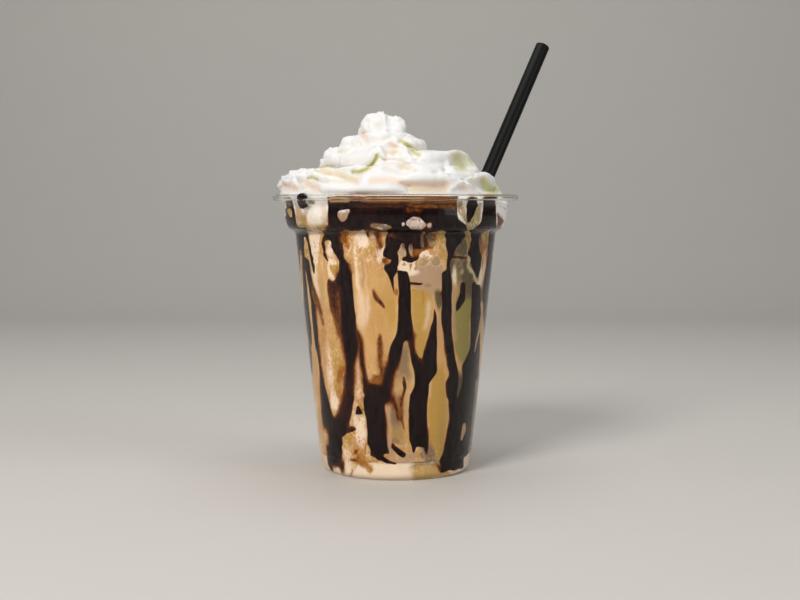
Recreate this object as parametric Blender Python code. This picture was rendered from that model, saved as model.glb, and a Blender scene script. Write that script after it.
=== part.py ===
"""A chocolate milkshake in its clear plastic cup, with whipped cream and a straw.

Metres, +Z up. The front faces -Y. The cup is modelled about Z, and all is then moved to CUP_AXIS, so that
the origin is on the floor under the middle of the whole part's box.
"""
import math
import random

import bmesh
import bpy
import numpy as np
from mathutils import Vector

MM = 0.001
GAP = 0.3 * MM
# The cup's axis, left of and before the origin, which is under the middle of the whole box.
CUP_AXIS = (-8.5 * MM, -1.2 * MM)

# Cup: a clear tapered tumbler with a 98 mm rolled rim.
CUP_HEIGHT = 110 * MM
RIM_RADIUS = 49 * MM
CURL_RADIUS = 1.6 * MM
BAND_RADIUS = 44.4 * MM
BAND_FOOT_RADIUS = 43.5 * MM
WALL_TOP_RADIUS = 40.0 * MM
WALL_FOOT_RADIUS = 30.7 * MM
HEEL_RADIUS = 29.8 * MM
FOOT_RADIUS = 28.1 * MM
FOOT_INNER_RADIUS = 23.7 * MM
PANEL_RADIUS = 20.7 * MM
PANEL_RISE = 2.6 * MM
BEAD_HEIGHT = 7.3 * MM
SHOULDER_HEIGHT = 95.0 * MM
SHOULDER_RISE = 2.9 * MM
BAND_TOP_HEIGHT = 105.5 * MM
SHEET = 0.5 * MM
SEGMENTS = 48
# Places in the sheet's line, counted from the base's centre.
FOOT_POINT, SHOULDER_POINT, BAND_TOP_POINT = 3, 7, 12

# Drink and cream levels.
DRINK_LEVEL = 94.0 * MM
CREAM_COLLAR_LEVEL = 107.6 * MM

# Straw: 197 mm long, leaning right and back.
STRAW_LENGTH = 197 * MM
STRAW_RADIUS = 3.0 * MM
STRAW_WALL = 0.3 * MM
STRAW_FOOT = (-12.1 * MM, -19.0 * MM)
STRAW_LEAN = (0.446, 0.40)
STRAW_SIDES = 16
# How far the hole for the straw runs on past its foot.
STRAW_HOLE_RUN_OUT = 12 * MM

# Sauce: a ring under the rim and runs down the inside of the wall.
SAUCE_RING_DEPTH = 1.8 * MM
SAUCE_WALL_GAP = 0.4 * MM
RUN_INSET = 0.05 * MM
RUN_STEP = 12.0 * MM
RUN_DEPTHS = (0.6 * MM, 1.6 * MM)
RUN_ROUNDNESS = 0.35
RUN_HEAD_HEIGHT = 90 * MM
# A run ends in a tip this far below its last station, this wide to each side.
RUN_TIP_DROP, RUN_TIP_HALF = 2.0 * MM, 0.5 * MM
# How full the ring is, as a share of its depth: at its top, and at its foot.
RING_TOP_SHARE, RING_FOOT_SHARE = 0.5, 0.8
# Ring top above the base by angle; angle 0 is the front, plus turns to the right.
RING_TOPS = ((-180, 105), (-140, 103), (-100, 105), (-72, 99), (-60, 103), (-50, 99), (-43, 105),
             (0, 105.5), (36, 105), (44, 99), (52, 104), (60, 99), (70, 105), (110, 104), (150, 105),
             (180, 105))
# Each run: angle in degrees, height and half width in millimetres, from the top down.
FRONT_RUNS = {
    "left_edge": ((-70, 93, 2.8), (-68, 84, 3.0), (-63, 66, 2.6), (-62, 46, 2.8), (-60, 28, 4.0),
                  (-54, 9, 5.2)),
    "left_broad": ((-36, 93, 2.8), (-33, 88, 3.0), (-30, 77, 5.4), (-31, 66, 6.2), (-29, 52, 4.2),
                   (-33, 36, 3.2), (-42, 21, 3.4), (-50, 13, 3.0)),
    "middle": ((-2, 93, 2.6), (-1, 84, 2.8), (4, 74, 2.0), (4, 62, 2.0), (-1, 51, 2.8),
               (-9, 38, 3.9), (-13, 26, 4.7), (-11, 10, 3.8)),
    "middle_fork": ((4, 63, 1.8), (9, 51, 2.3), (14, 41, 2.9), (17, 27, 4.0), (18, 11, 2.4)),
    "thin_fork": ((25, 68, 0.8), (24, 57, 1.3), (20, 44, 2.3), (17, 35, 2.6)),
    "short_fork": ((-21, 56, 1.0), (-19, 46, 1.7), (-15, 34, 3.2)),
    "right": ((31, 93, 2.7), (32, 82, 2.2), (32, 65, 2.1), (36, 51, 2.5), (42, 34, 3.6),
              (48, 16, 5.5), (51, 8, 5.0)),
    "right_edge": ((52, 93, 2.7), (57, 78, 2.6), (60, 62, 3.4), (57, 44, 5.0), (56, 24, 4.8),
                   (55, 12, 3.0)),
}
BACK_RUNS = 7
BACK_ARC = (84, 276)
BACK_SEED = 5

# Cream ropes: x, y, height and radius of the rope's middle, in millimetres.
CREAM_ROPES = {
    "lower": ((-27, 29, 113, 8), (-37, 17, 112.5, 9), (-38.2, 2, 111.7, 9.5),
              (-35, -14, 111.7, 9.8), (-25, -27, 112, 9.9), (-10, -35, 112, 9.7),
              (6, -36, 112, 9.7), (20, -29, 111.4, 9.8), (30, -17, 110.2, 9.9),
              (32.6, -2, 109.4, 10), (29.5, 14, 110.5, 9.8), (20, 26, 112, 9.6),
              (5, 33, 113, 9.6), (-11, 32, 114, 9.4), (-23, 24, 115.5, 8.8)),
    "middle": ((-24, 13, 117, 8), (-21.5, 3, 120.6, 8.4), (-18, -9, 120.8, 8.8),
               (-9, -18, 120, 9.1), (4, -20, 119, 9.1), (16, -15, 118.6, 9.4),
               (23.5, -2, 118.7, 9.5), (19, 13, 119, 9), (6, 20, 120.5, 8.8), (-8, 17, 122.5, 8.4)),
    "upper": ((-14, 10, 124, 7), (-14.5, 0, 126.4, 7.2), (-9, -9, 127, 7.6), (1, -9, 126.6, 7.8),
              (5.8, 0, 126.4, 7.8), (0, 8, 128, 7.4), (-8, 6, 131, 7)),
}
# Lumps where a rope ends or folds over: x, y, height, half width and half height, in millimetres.
CREAM_LUMPS = {
    "crest_left": (-8.2, -1, 136.4, 6.6, 7.0),
    "crest_right": (-0.4, -1.5, 135.6, 5.3, 6.1),
    "nose_low": (-23.8, -3, 124.6, 5.4, 4.4),
    "nose_high": (-17.6, -2, 130.1, 4.4, 3.6),
    "heart_low": (-2, 1, 109, 37, 12),
    "heart_high": (-3, 0, 121, 16, 14),
}
ROPE_RIDGES = 6
ROPE_RIDGE_DEPTH = 0.13
ROPE_TWIST_LENGTH = 70 * MM
ROPE_STEP = 3.0 * MM
ROPE_SIDES = 24
# A rope's first and last two rings narrow to this share of its radius.
ROPE_END_SHARE = 0.45
CREAM_VOXEL = 1.1 * MM
CREAM_TRIANGLES = 3200
# The plain disc of cream inside the cup's mouth is cut to the wall, so it starts wider and lower.
COLLAR_RADIUS = BAND_RADIUS + 1.5 * MM
COLLAR_FOOT = DRINK_LEVEL - 5 * MM
# Free room round and over the rim for the cream's heap.
ROOM_MARGIN, ROOM_RISE = 10 * MM, 60 * MM


def clear_scene():
    for item in list(bpy.data.objects):
        bpy.data.objects.remove(item, do_unlink=True)


def material(name, colour, roughness, alpha=1.0, transmission=0.0):
    made = bpy.data.materials.new(name)
    made.use_nodes = True
    shader = made.node_tree.nodes["Principled BSDF"]
    shader.inputs["Base Color"].default_value = (*colour, 1.0)
    shader.inputs["Roughness"].default_value = roughness
    shader.inputs["Metallic"].default_value = 0.0
    shader.inputs["Alpha"].default_value = alpha
    shader.inputs["Transmission Weight"].default_value = transmission
    return made


def add_object(name, bm, smooth_angle=40):
    mesh = bpy.data.meshes.new(name)
    bm.to_mesh(mesh)
    bm.free()
    mesh.shade_smooth()
    mesh.set_sharp_from_angle(angle=math.radians(smooth_angle))
    made = bpy.data.objects.new(name, mesh)
    bpy.context.collection.objects.link(made)
    return made


def hide_cutter(item):
    item.hide_render = True
    item.display_type = "WIRE"


def boolean(item, operation, other=None, group=None, solver="EXACT"):
    step = item.modifiers.new(operation.lower(), "BOOLEAN")
    step.operation = operation
    step.solver = solver
    if group:
        step.operand_type = "COLLECTION"
        step.collection = group
    else:
        step.object = other
    return step


def join_bodies(item, others):
    """One Boolean union of item with the others, applied; the others are removed."""
    group = bpy.data.collections.new(item.name + "_pieces")
    bpy.context.scene.collection.children.link(group)
    for other in others:
        bpy.context.collection.objects.unlink(other)
        group.objects.link(other)
    boolean(item, "UNION", group=group)
    depsgraph = bpy.context.evaluated_depsgraph_get()
    joined = bpy.data.meshes.new_from_object(item.evaluated_get(depsgraph))
    item.modifiers.clear()
    item.data = joined
    for other in others:
        bpy.data.objects.remove(other, do_unlink=True)
    bpy.data.collections.remove(group)


def arc(centre, radius, start, end, steps):
    """Points (r, z) on an arc, angles in degrees."""
    points = []
    for i in range(steps + 1):
        turn = math.radians(start + (end - start) * i / steps)
        points.append((centre[0] + radius * math.cos(turn), centre[1] + radius * math.sin(turn)))
    return points


def sheet_line():
    """The middle of the cup's sheet, from the base's centre to the end of the rolled rim."""
    half = SHEET / 2
    curl = (RIM_RADIUS - CURL_RADIUS, CUP_HEIGHT - CURL_RADIUS)
    base = [(0.0, PANEL_RISE + half), (PANEL_RADIUS, PANEL_RISE + half),
            (FOOT_INNER_RADIUS, half), (FOOT_RADIUS, half)]
    heel = [(HEEL_RADIUS - half, half + HEEL_RADIUS - FOOT_RADIUS),
            (HEEL_RADIUS + 0.3 * MM, BEAD_HEIGHT - 0.4 * MM),
            (WALL_FOOT_RADIUS - half, BEAD_HEIGHT + 0.4 * MM)]
    shoulder = [(WALL_TOP_RADIUS - half, SHOULDER_HEIGHT),
                (WALL_TOP_RADIUS + 0.9 * MM, SHOULDER_HEIGHT + 1.2 * MM),
                (BAND_FOOT_RADIUS - 1.1 * MM, SHOULDER_HEIGHT + 1.9 * MM),
                (BAND_FOOT_RADIUS - half, SHOULDER_HEIGHT + SHOULDER_RISE)]
    band = [(BAND_RADIUS - half, SHOULDER_HEIGHT + 6.5 * MM), (BAND_RADIUS - half, BAND_TOP_HEIGHT)]
    return base + heel + shoulder + band + arc(curl, CURL_RADIUS - half, 180, 0, 4) + \
        arc(curl, CURL_RADIUS - half, -55, -125, 1)


def offset_line(points, distance):
    """The line moved sideways to its left, with mitred corners; the ends keep their direction."""
    moved = []
    for i, point in enumerate(points):
        normals = []
        for a, b in ((i - 1, i), (i, i + 1)):
            if a >= 0 and b < len(points):
                along = Vector(points[b]) - Vector(points[a])
                normals.append(Vector((-along.y, along.x)).normalized())
        mitre = sum(normals, Vector((0, 0))).normalized()
        reach = distance / mitre.dot(normals[0])
        moved.append((point[0] + mitre.x * reach, point[1] + mitre.y * reach))
    return moved


def inside_line(gap):
    """The line at the given gap inside the cup's inner face, from the axis outwards and up."""
    line = offset_line(sheet_line(), SHEET / 2 + gap)
    return [(0.0, line[0][1])] + line[1:]


def wall_line(gap):
    """The part of the inside line from the foot to the top of the band, where it only rises."""
    return inside_line(gap)[FOOT_POINT:BAND_TOP_POINT + 1]


def inside_radius(height, gap):
    radii, heights = zip(*wall_line(gap))
    return float(np.interp(height, heights, radii))


def turned(name, outline, segments=SEGMENTS):
    """A closed body turned about Z from an outline that may start and end on the axis."""
    bm = bmesh.new()
    verts = [bm.verts.new((r, 0, z)) for r, z in outline]
    edges = [bm.edges.new(pair) for pair in zip(verts, verts[1:])]
    if outline[0][0] > 0:
        edges.append(bm.edges.new((verts[-1], verts[0])))
    bmesh.ops.spin(bm, geom=verts + edges, axis=(0, 0, 1), cent=(0, 0, 0), steps=segments,
                   angle=math.tau, use_merge=True, use_duplicate=False)
    bmesh.ops.remove_doubles(bm, verts=bm.verts, dist=0.001 * MM)
    bmesh.ops.recalc_face_normals(bm, faces=bm.faces)
    return add_object(name, bm)


def loft(name, rings):
    """A closed body through rings of points, with a flat cap on each end."""
    bm = bmesh.new()
    made = [[bm.verts.new(point) for point in ring] for ring in rings]
    count = len(made[0])
    for low, high in zip(made, made[1:]):
        for i in range(count):
            j = (i + 1) % count
            bm.faces.new((low[i], low[j], high[j], high[i]))
    bm.faces.new(made[0][::-1])
    bm.faces.new(made[-1])
    bmesh.ops.recalc_face_normals(bm, faces=bm.faces)
    return add_object(name, bm)


def smooth_route(stations, step):
    """Even points on a Catmull-Rom curve through the stations."""
    points = [Vector(s) for s in stations]
    points = [2 * points[0] - points[1]] + points + [2 * points[-1] - points[-2]]
    route = []
    for a, b, c, d in zip(points, points[1:], points[2:], points[3:]):
        pieces = max(1, round((c - b).length / step))
        for i in range(pieces):
            t = i / pieces
            route.append(0.5 * (2 * b + (c - a) * t + (2 * a - 5 * b + 4 * c - d) * t ** 2
                                + (3 * b - a - 3 * c + d) * t ** 3))
    route.append(points[-2])
    return route


def on_wall(angle, radius, height):
    turn = math.radians(angle)
    return (radius * math.sin(turn), -radius * math.cos(turn), height)


def run_body(name, stations, grow):
    """One run of sauce: flat against the wall, rounded towards the drink."""
    gap = SAUCE_WALL_GAP + RUN_INSET
    outer_gap = gap if grow == 0 else -SHEET
    last = stations[-1]
    ends = (*stations, (last[0], last[1] - (RUN_TIP_DROP + grow) / MM, RUN_TIP_HALF / MM))
    route = smooth_route([(angle * MM, height * MM, half * MM) for angle, height, half in ends], RUN_STEP)
    if route[0].y > RUN_HEAD_HEIGHT:
        shoulder = inside_line(gap)[SHOULDER_POINT:SHOULDER_POINT + 2]
        route = [Vector((route[0].x, point[1], route[0].z)) for point in shoulder[::-1]] + route
    rings = []
    for angle, height, half in route:
        angle, half = angle / MM, max(half, RUN_TIP_HALF) + grow
        depth = min(RUN_DEPTHS[1], max(RUN_DEPTHS[0], RUN_ROUNDNESS * half)) + grow
        face, outer = inside_radius(height, gap), inside_radius(height, outer_gap)
        inner = face - depth
        edge = math.degrees(half * (1 + 0.5 * (outer - face) / depth) / outer)
        crest = math.degrees(0.5 * half / inner)
        rings.append([on_wall(angle - edge, outer, height), on_wall(angle, outer, height),
                      on_wall(angle + edge, outer, height), on_wall(angle + crest, inner, height),
                      on_wall(angle - crest, inner, height)])
    return loft(name, rings)


def back_runs():
    """Runs round the back by a rule: even spacing with seeded drift, width and length."""
    dice = random.Random(BACK_SEED)
    runs = {}
    for i in range(BACK_RUNS):
        angle = BACK_ARC[0] + (BACK_ARC[1] - BACK_ARC[0]) * (i + 0.5) / BACK_RUNS
        stations = []
        foot = dice.choice((9, 13, 20))
        drift = 0.0
        for height in (93, 75, 56, 34, foot):
            drift += dice.uniform(-5, 5)
            stations.append((angle + drift, height, dice.uniform(2.0, 4.6)))
        runs["back_%d" % i] = tuple(stations)
    return runs


def ring_body(name, grow):
    """The ring of sauce under the rim; its top edge rises and falls round the cup."""
    angles, tops = zip(*RING_TOPS)
    outer_gap = SAUCE_WALL_GAP if grow == 0 else -SHEET
    shoulder = [point[1] for point in inside_line(SAUCE_WALL_GAP)[SHOULDER_POINT:SHOULDER_POINT + 3]]
    foot = DRINK_LEVEL + GAP - grow
    rings = []
    for i in range(SEGMENTS):
        angle = -180 + 360 * i / SEGMENTS
        top = float(np.interp(angle, angles, tops)) * MM + grow
        middle = 0.5 * (shoulder[-1] + top)
        outer = [on_wall(angle, inside_radius(z, outer_gap), z) for z in (foot, *shoulder, middle, top)]
        depth = SAUCE_RING_DEPTH + grow
        inner = [on_wall(angle, inside_radius(z, SAUCE_WALL_GAP) - depth * share, z)
                 for z, share in ((top, RING_TOP_SHARE), (middle, 1.0), (shoulder[1], 1.0),
                                  (foot, RING_FOOT_SHARE))]
        rings.append(outer + inner)
    bm = bmesh.new()
    made = [[bm.verts.new(point) for point in ring] for ring in rings]
    count = len(made[0])
    for i, ring in enumerate(made):
        other = made[(i + 1) % SEGMENTS]
        for a in range(count):
            b = (a + 1) % count
            bm.faces.new((ring[a], ring[b], other[b], other[a]))
    bmesh.ops.recalc_face_normals(bm, faces=bm.faces)
    return add_object(name, bm)


def sauce_body(name, grow=0.0):
    ring = ring_body(name, grow)
    runs = {**FRONT_RUNS, **back_runs()}
    join_bodies(ring, [run_body(name + "_" + key, stations, grow) for key, stations in runs.items()])
    return ring


def straw_axis():
    """Foot and top of the straw's axis; its lower lip clears the cup's floor."""
    lean = Vector((*STRAW_LEAN, 1.0)).normalized()
    floor = PANEL_RISE + SHEET + GAP
    foot = Vector((*STRAW_FOOT, floor + STRAW_RADIUS * math.sqrt(1 - lean.z ** 2)))
    return foot, lean


def straw_tube(name):
    foot, lean = straw_axis()
    bore = STRAW_RADIUS - STRAW_WALL
    outline = [(STRAW_RADIUS, 0), (STRAW_RADIUS, STRAW_LENGTH), (bore, STRAW_LENGTH), (bore, 0)]
    tube = turned(name, outline, STRAW_SIDES)
    tube.rotation_mode = "QUATERNION"
    tube.rotation_quaternion = lean.to_track_quat("Z", "Y")
    tube.location = foot
    return tube


def straw_cutter():
    foot, lean = straw_axis()
    radius = STRAW_RADIUS + GAP
    low = -STRAW_HOLE_RUN_OUT
    outline = [(0, low), (radius, low), (radius, STRAW_LENGTH), (0, STRAW_LENGTH)]
    cutter = turned("straw_clearance", outline, STRAW_SIDES)
    cutter.rotation_mode = "QUATERNION"
    cutter.rotation_quaternion = lean.to_track_quat("Z", "Y")
    cutter.location = foot
    hide_cutter(cutter)
    return cutter


def cup_body():
    line = sheet_line()
    inner = offset_line(line, SHEET / 2)
    outer = offset_line(line, -SHEET / 2)
    inner[0] = (0.0, inner[0][1])
    outer[0] = (0.0, outer[0][1])
    return turned("cup", outer + inner[::-1])


def drink_body():
    below = inside_line(GAP)[:SHOULDER_POINT]
    return turned("drink", below + [(inside_radius(DRINK_LEVEL, GAP), DRINK_LEVEL), (0.0, DRINK_LEVEL)])


def cream_room():
    """The space that the cream may fill: inside the upper cup, and all that lies above the rim."""
    low, top = DRINK_LEVEL + GAP, CUP_HEIGHT + GAP
    line = inside_line(GAP)[SHOULDER_POINT:BAND_TOP_POINT + 3]
    wide, high = RIM_RADIUS + ROOM_MARGIN, CUP_HEIGHT + ROOM_RISE
    outline = [(0.0, low), (inside_radius(low, GAP), low)] + line
    outline += [(RIM_RADIUS - CURL_RADIUS, top), (wide, top), (wide, high), (0.0, high)]
    room = turned("cream_room", outline)
    hide_cutter(room)
    return room


def rope_body(name, stations):
    """A piped rope: a ridged round section carried along a smooth route, turning slowly."""
    route = smooth_route([[value * MM for value in s] for s in stations], ROPE_STEP)
    rings = []
    travelled = 0.0
    for i, (x, y, z, radius) in enumerate(route):
        before, after = route[max(i - 1, 0)], route[min(i + 1, len(route) - 1)]
        along = (after - before).to_3d().normalized()
        side = along.cross(Vector((0, 0, 1)))
        side = side.normalized() if side.length > 0.1 else Vector((1, 0, 0))
        up = side.cross(along)
        if i:
            travelled += (route[i] - route[i - 1]).to_3d().length
        taper = min(1.0, ROPE_END_SHARE + (1 - ROPE_END_SHARE) * min(i, len(route) - 1 - i) / 2)
        twist = math.tau * travelled / ROPE_TWIST_LENGTH / ROPE_RIDGES
        ring = []
        for k in range(ROPE_SIDES):
            turn = math.tau * k / ROPE_SIDES
            ridge = 1 - ROPE_RIDGE_DEPTH * (0.5 - 0.5 * math.cos(ROPE_RIDGES * (turn - twist)))
            reach = radius * taper * ridge
            ring.append(Vector((x, y, z)) + side * reach * math.cos(turn) + up * reach * math.sin(turn))
        rings.append(ring)
    return loft(name, rings)


def lump_body(name, x, y, z, wide, tall):
    """A rounded mass of cream; the two hearts fill what the ropes lie round."""
    bm = bmesh.new()
    bmesh.ops.create_uvsphere(bm, u_segments=32, v_segments=16, radius=1.0)
    for vert in bm.verts:
        vert.co = Vector((x + vert.co.x * wide, y + vert.co.y * wide, z + vert.co.z * tall)) * MM
    return add_object(name, bm)


def cream_body(sauce_clearance, straw_clearance):
    ropes = [rope_body("rope_" + key, stations) for key, stations in CREAM_ROPES.items()]
    lumps = [lump_body(key, *sizes) for key, sizes in CREAM_LUMPS.items()]
    cream = ropes[0]
    cream.name = "whipped_cream"
    bm = bmesh.new()
    for item in ropes + lumps:
        bm.from_mesh(item.data)
    bm.to_mesh(cream.data)
    bm.free()
    for item in ropes[1:] + lumps:
        bpy.data.objects.remove(item, do_unlink=True)
    remesh = cream.modifiers.new("one skin", "REMESH")
    remesh.mode = "VOXEL"
    remesh.voxel_size = CREAM_VOXEL
    depsgraph = bpy.context.evaluated_depsgraph_get()
    skin = cream.evaluated_get(depsgraph).to_mesh()
    skin.calc_loop_triangles()
    share = CREAM_TRIANGLES / len(skin.loop_triangles)
    fewer = cream.modifiers.new("fewer faces", "DECIMATE")
    fewer.ratio = share
    collar = turned("cream_collar", [(0.0, COLLAR_FOOT), (COLLAR_RADIUS, COLLAR_FOOT),
                                     (COLLAR_RADIUS, CREAM_COLLAR_LEVEL), (0.0, CREAM_COLLAR_LEVEL)])
    hide_cutter(collar)
    boolean(cream, "UNION", collar)
    boolean(cream, "INTERSECT", cream_room())
    boolean(cream, "DIFFERENCE", sauce_clearance, solver="MANIFOLD")
    boolean(cream, "DIFFERENCE", straw_clearance, solver="MANIFOLD")
    return cream


def main():
    clear_scene()
    clear_plastic = material("clear_plastic", (0.95, 0.96, 0.96), 0.05, alpha=0.3, transmission=1.0)
    shake = material("milkshake", (0.62, 0.42, 0.24), 0.35)
    sauce_finish = material("chocolate_sauce", (0.035, 0.012, 0.006), 0.15)
    cream_finish = material("cream", (0.93, 0.89, 0.82), 0.45)
    black_plastic = material("black_plastic", (0.012, 0.012, 0.013), 0.3)

    sauce = sauce_body("chocolate_sauce")
    sauce_clearance = sauce_body("sauce_clearance", grow=GAP)
    hide_cutter(sauce_clearance)
    straw_clearance = straw_cutter()
    cup = cup_body()
    drink = drink_body()
    # EXACT leaves open edges where the sauce's clearance meets the drink and the cream.
    boolean(drink, "DIFFERENCE", sauce_clearance, solver="MANIFOLD")
    boolean(drink, "DIFFERENCE", straw_clearance, solver="MANIFOLD")
    cream = cream_body(sauce_clearance, straw_clearance)
    straw = straw_tube("straw")
    finishes = ((cup, clear_plastic), (drink, shake), (sauce, sauce_finish), (cream, cream_finish),
                (straw, black_plastic))
    for item, finish in finishes:
        item.data.materials.clear()
        item.data.materials.append(finish)
    for item in bpy.data.objects:
        item.location += Vector((*CUP_AXIS, 0.0))


main()
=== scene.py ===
"""Dresses the chocolate milkshake: a clear cup, the drink, the sauce on its wall, whipped cream and a straw.

Sizes here are in millimetres unless a name says otherwise, and meshes are written in metres.
Angles on the cup's wall are in radians from the front, and grow to the right.
"""

import functools
import itertools
import math
import random

import bmesh
import bpy
import numpy as np
from mathutils import Matrix, Vector


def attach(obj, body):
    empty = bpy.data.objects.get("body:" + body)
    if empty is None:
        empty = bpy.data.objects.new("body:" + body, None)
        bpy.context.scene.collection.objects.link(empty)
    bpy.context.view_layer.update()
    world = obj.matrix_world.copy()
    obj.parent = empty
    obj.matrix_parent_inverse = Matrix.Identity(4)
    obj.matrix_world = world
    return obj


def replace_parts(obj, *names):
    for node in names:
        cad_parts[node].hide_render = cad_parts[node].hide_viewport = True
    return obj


bl_info = {
    "name": "Chocolate Milkshake",
    "version": (1, 0, 0),
    "blender": (4, 5, 0),
    "location": "View3D > Sidebar > Milkshake",
    "description": "Builds a chocolate milkshake in a clear cup with whipped cream, sauce and a straw",
    "category": "Add Mesh",
}

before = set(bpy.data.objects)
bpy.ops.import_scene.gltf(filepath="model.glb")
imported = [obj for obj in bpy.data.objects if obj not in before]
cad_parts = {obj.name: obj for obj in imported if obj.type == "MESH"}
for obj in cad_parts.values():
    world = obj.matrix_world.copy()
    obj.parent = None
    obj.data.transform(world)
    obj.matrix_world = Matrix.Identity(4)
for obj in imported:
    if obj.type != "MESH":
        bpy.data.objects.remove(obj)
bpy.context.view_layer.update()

MM = 0.001
TURN = math.tau
BODY = "root"

# The photograph's camera, fitted on the rim, the cup's sides and the straw.
PHOTO_WIDTH, PHOTO_HEIGHT = 800, 600
FOCAL_PIXELS = 1398.0
SENSOR_WIDTH = 36.0
CAMERA_PLACE = (1.8, -560.0, 108.0)
CAMERA_TILT = math.radians(4.10)

# The cup is worked out about its own axis, which stands here in the row's frame.
CUP_AXIS = (-8.5, -1.2, 0.0)

# The middle of the cup's sheet from the base's centre to the rolled rim: radius, height, corner rounding.
SHEET_LINE = ((0, 2.85, 0), (20.7, 2.85, 1.4), (23.7, 0.25, 1.2), (28.1, 0.25, 1.1), (29.55, 1.95, 0.9),
              (30.1, 6.9, 0.3), (30.45, 7.7, 0.3), (39.75, 95.0, 0.7), (40.9, 96.2, 0.5), (42.4, 96.9, 0.5),
              (43.25, 97.9, 0.5), (44.15, 101.5, 1.2), (44.15, 105.9, 1.0), (46.3, 108.5, 0.8))
RIM_CURL = (47.75, 108.9, 1.0)
RIM_CURL_SPAN, RIM_CURL_STEPS = (180, -125), 22
SHEET = 0.5
FOOT_RADIUS = 27.0
DRINK_TOP = 94.0
# The drink's foam clings to the wall above its level, this far up and this thick.
CLING_TOP, CLING = 96.3, 1.7
SHOULDER_TOP = 96.6
SAUCE_TOP = 109.3
BAND_LIMIT = 109.6

# How far the contents reach into the sheet, and how deep the drink steps back behind the sauce.
DRINK_REACH = 0.05
RECESS_RUN, RECESS_BAND, RECESS_EDGE = 0.9, 1.4, 0.25
WALL_STEP, WALL_COLUMNS, BASE_ROWS = 0.56, 384, 14
# How much closer the columns stand at the front than on average.
FRONT_DRAW = 0.45
# The sauce's face leans at its edge by this slope over this depth, and the sauce is at least this thick.
FACE_SLOPE, FACE_REACH, LEAST_SAUCE = 0.5, 0.25, 0.1
# How deep its back is seated, the depth that its skin is cut at, and one that stands for no sauce.
SEAT, SAUCE_TRIM, FAR_OUTSIDE = 0.06, -0.25, -9.0
EDGE_BLEND, EDGE_SOFTENING, EXPONENT_LIMIT = 0.3, 1, 60
# How wide the sauce's thin edge is where it is crisp and where it is smeared, and what makes it so.
FRINGE = (0.2, 1.7)
LOW_SMEAR, CRISP_SHARE, CRISP_SOFTNESS = 0.55, 0.8, 2.34375
# The most body that sauce shows, and how much of it the back and the streaks of the band lose.
FULL_BODY, BACK_THIN, STREAK_THIN = 2.2, 1.6, 1.3
# The band under the rim round the back, and the specks of the churned zone there.
BAND_FOOT, BAND_HOLE_EDGE = 94.6, 1.2
SPECK_EDGE, SPECK_MOST, SPECK_RETREAT = 1.86, 2.0, 4.0
# How the washes of colour fade over their sides and ends.
WASH_SOFTNESS, WASH_END_FADE, WASH_END_SHARE = 1.6, 4.0, 0.35
PIXELS_PER_MM = 2.5
# The stirred rags near the base are weaker, and foam and dusk calm them.
LOW_RAGS, CALMED_BY = 0.8, {"foam": 0.75, "dusk": 0.85}
LACE_WIDTH, LACE_STAIN = 0.15, 0.85
# A bubble's rim gets a painted highlight in the milk colour: how wide its ring is, as a share of the radius,
# and how strong.
BUBBLE_RIM, BUBBLE_SHINE = 0.28, 0.35
# Milk round the foot, and how much gold holds it back.
BEAD_MILK, BEAD_GOLD = 0.8, 0.75
# The film beside the sauce: how far it reaches, how much further in the rags, and what clears it.
FILM_REACH, FILM_RAGGED, FILM_CRISP, FILM_DUSK = 0.55, 1.5, 0.6, 0.8
# Painted shade in the cream's hollows and creases: golden tan, yellow green and pink.
HOLLOW_SHADES = ("warm", "moss", "rose")
BACK_TINTS = ("pale", "gold", "foam", "stain")
# How far from the camera the wall can be, along the view, and the step of the search.
SIGHT = (505.0, 575.0, 0.05)
# The most of a stretch of the sheet's line that a rounded corner takes up.
CORNER_SHARE = 0.45

# Noise by name, as layers to sum: how much, how drawn together it is upwards (below 1 it is drawn out),
# the size of its lumps, and its seed.
NOISES = {
    "edge": ((0.42, 0.45, 2.6, 3), (0.168, 1, 1, 4)),
    "edge_lively": ((0.75, 1, 1.5, 6),),
    "edge_rise": ((0.84, 1, 4, 5),),
    "edge_rise_lively": ((0.9, 1, 1.7, 7),),
    "band_holes": ((3.2, 1.2, 7.5, 11), (1.6, 1, 3, 12)),
    "specks": ((3, 0.55, 3, 51), (1.5, 1, 1.3, 52)),
    "thin_back": ((1, 0.4, 6, 17),),
    "streaks": ((1, 1.6 / 0.22, 2.4 / 0.22, 18),),
    "smear": ((1, 0.5, 7, 61),),
    "wash_side": ((0.8, 0.35, 6.5, 62), (0.5, 1, 2.4, 63)),
    "wash_rise": ((2, 1, 8, 64), (0.9, 1, 2.8, 65)),
    "back_pale": ((1, 0.3, 14, 31),),
    "back_gold": ((1, 0.3, 16, 32),),
    "back_foam": ((1, 0.3, 11, 33),),
    "back_stain": ((1, 0.3, 9, 34),),
    "churn_pale": ((1, 0.7, 2.6, 66),),
    "churn_stain": ((1, 0.5, 3.6, 67),),
    "lace": ((1, 0.7, 4.2, 71),),
    "lace_patches": ((1, 1, 9, 72),),
    "cream_lumps": ((0.4, 1, 6, 41), (0.22, 1, 2.6, 42)),
    "cream_crumbs": ((1.3, 1, 2.6, 43),),
    "cream_grit": ((1.9, 1, 1.6, 44),),
    "cream_under_shade": ((0.5, 1, 8, 45),),
    "crease_x": ((3, 1, 11, 46),),
    "crease_y": ((3, 1, 11, 47),),
    "crease_z": ((3, 1, 11, 48),),
    "crease": ((1, 1.7, 13, 49),),
}
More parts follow.
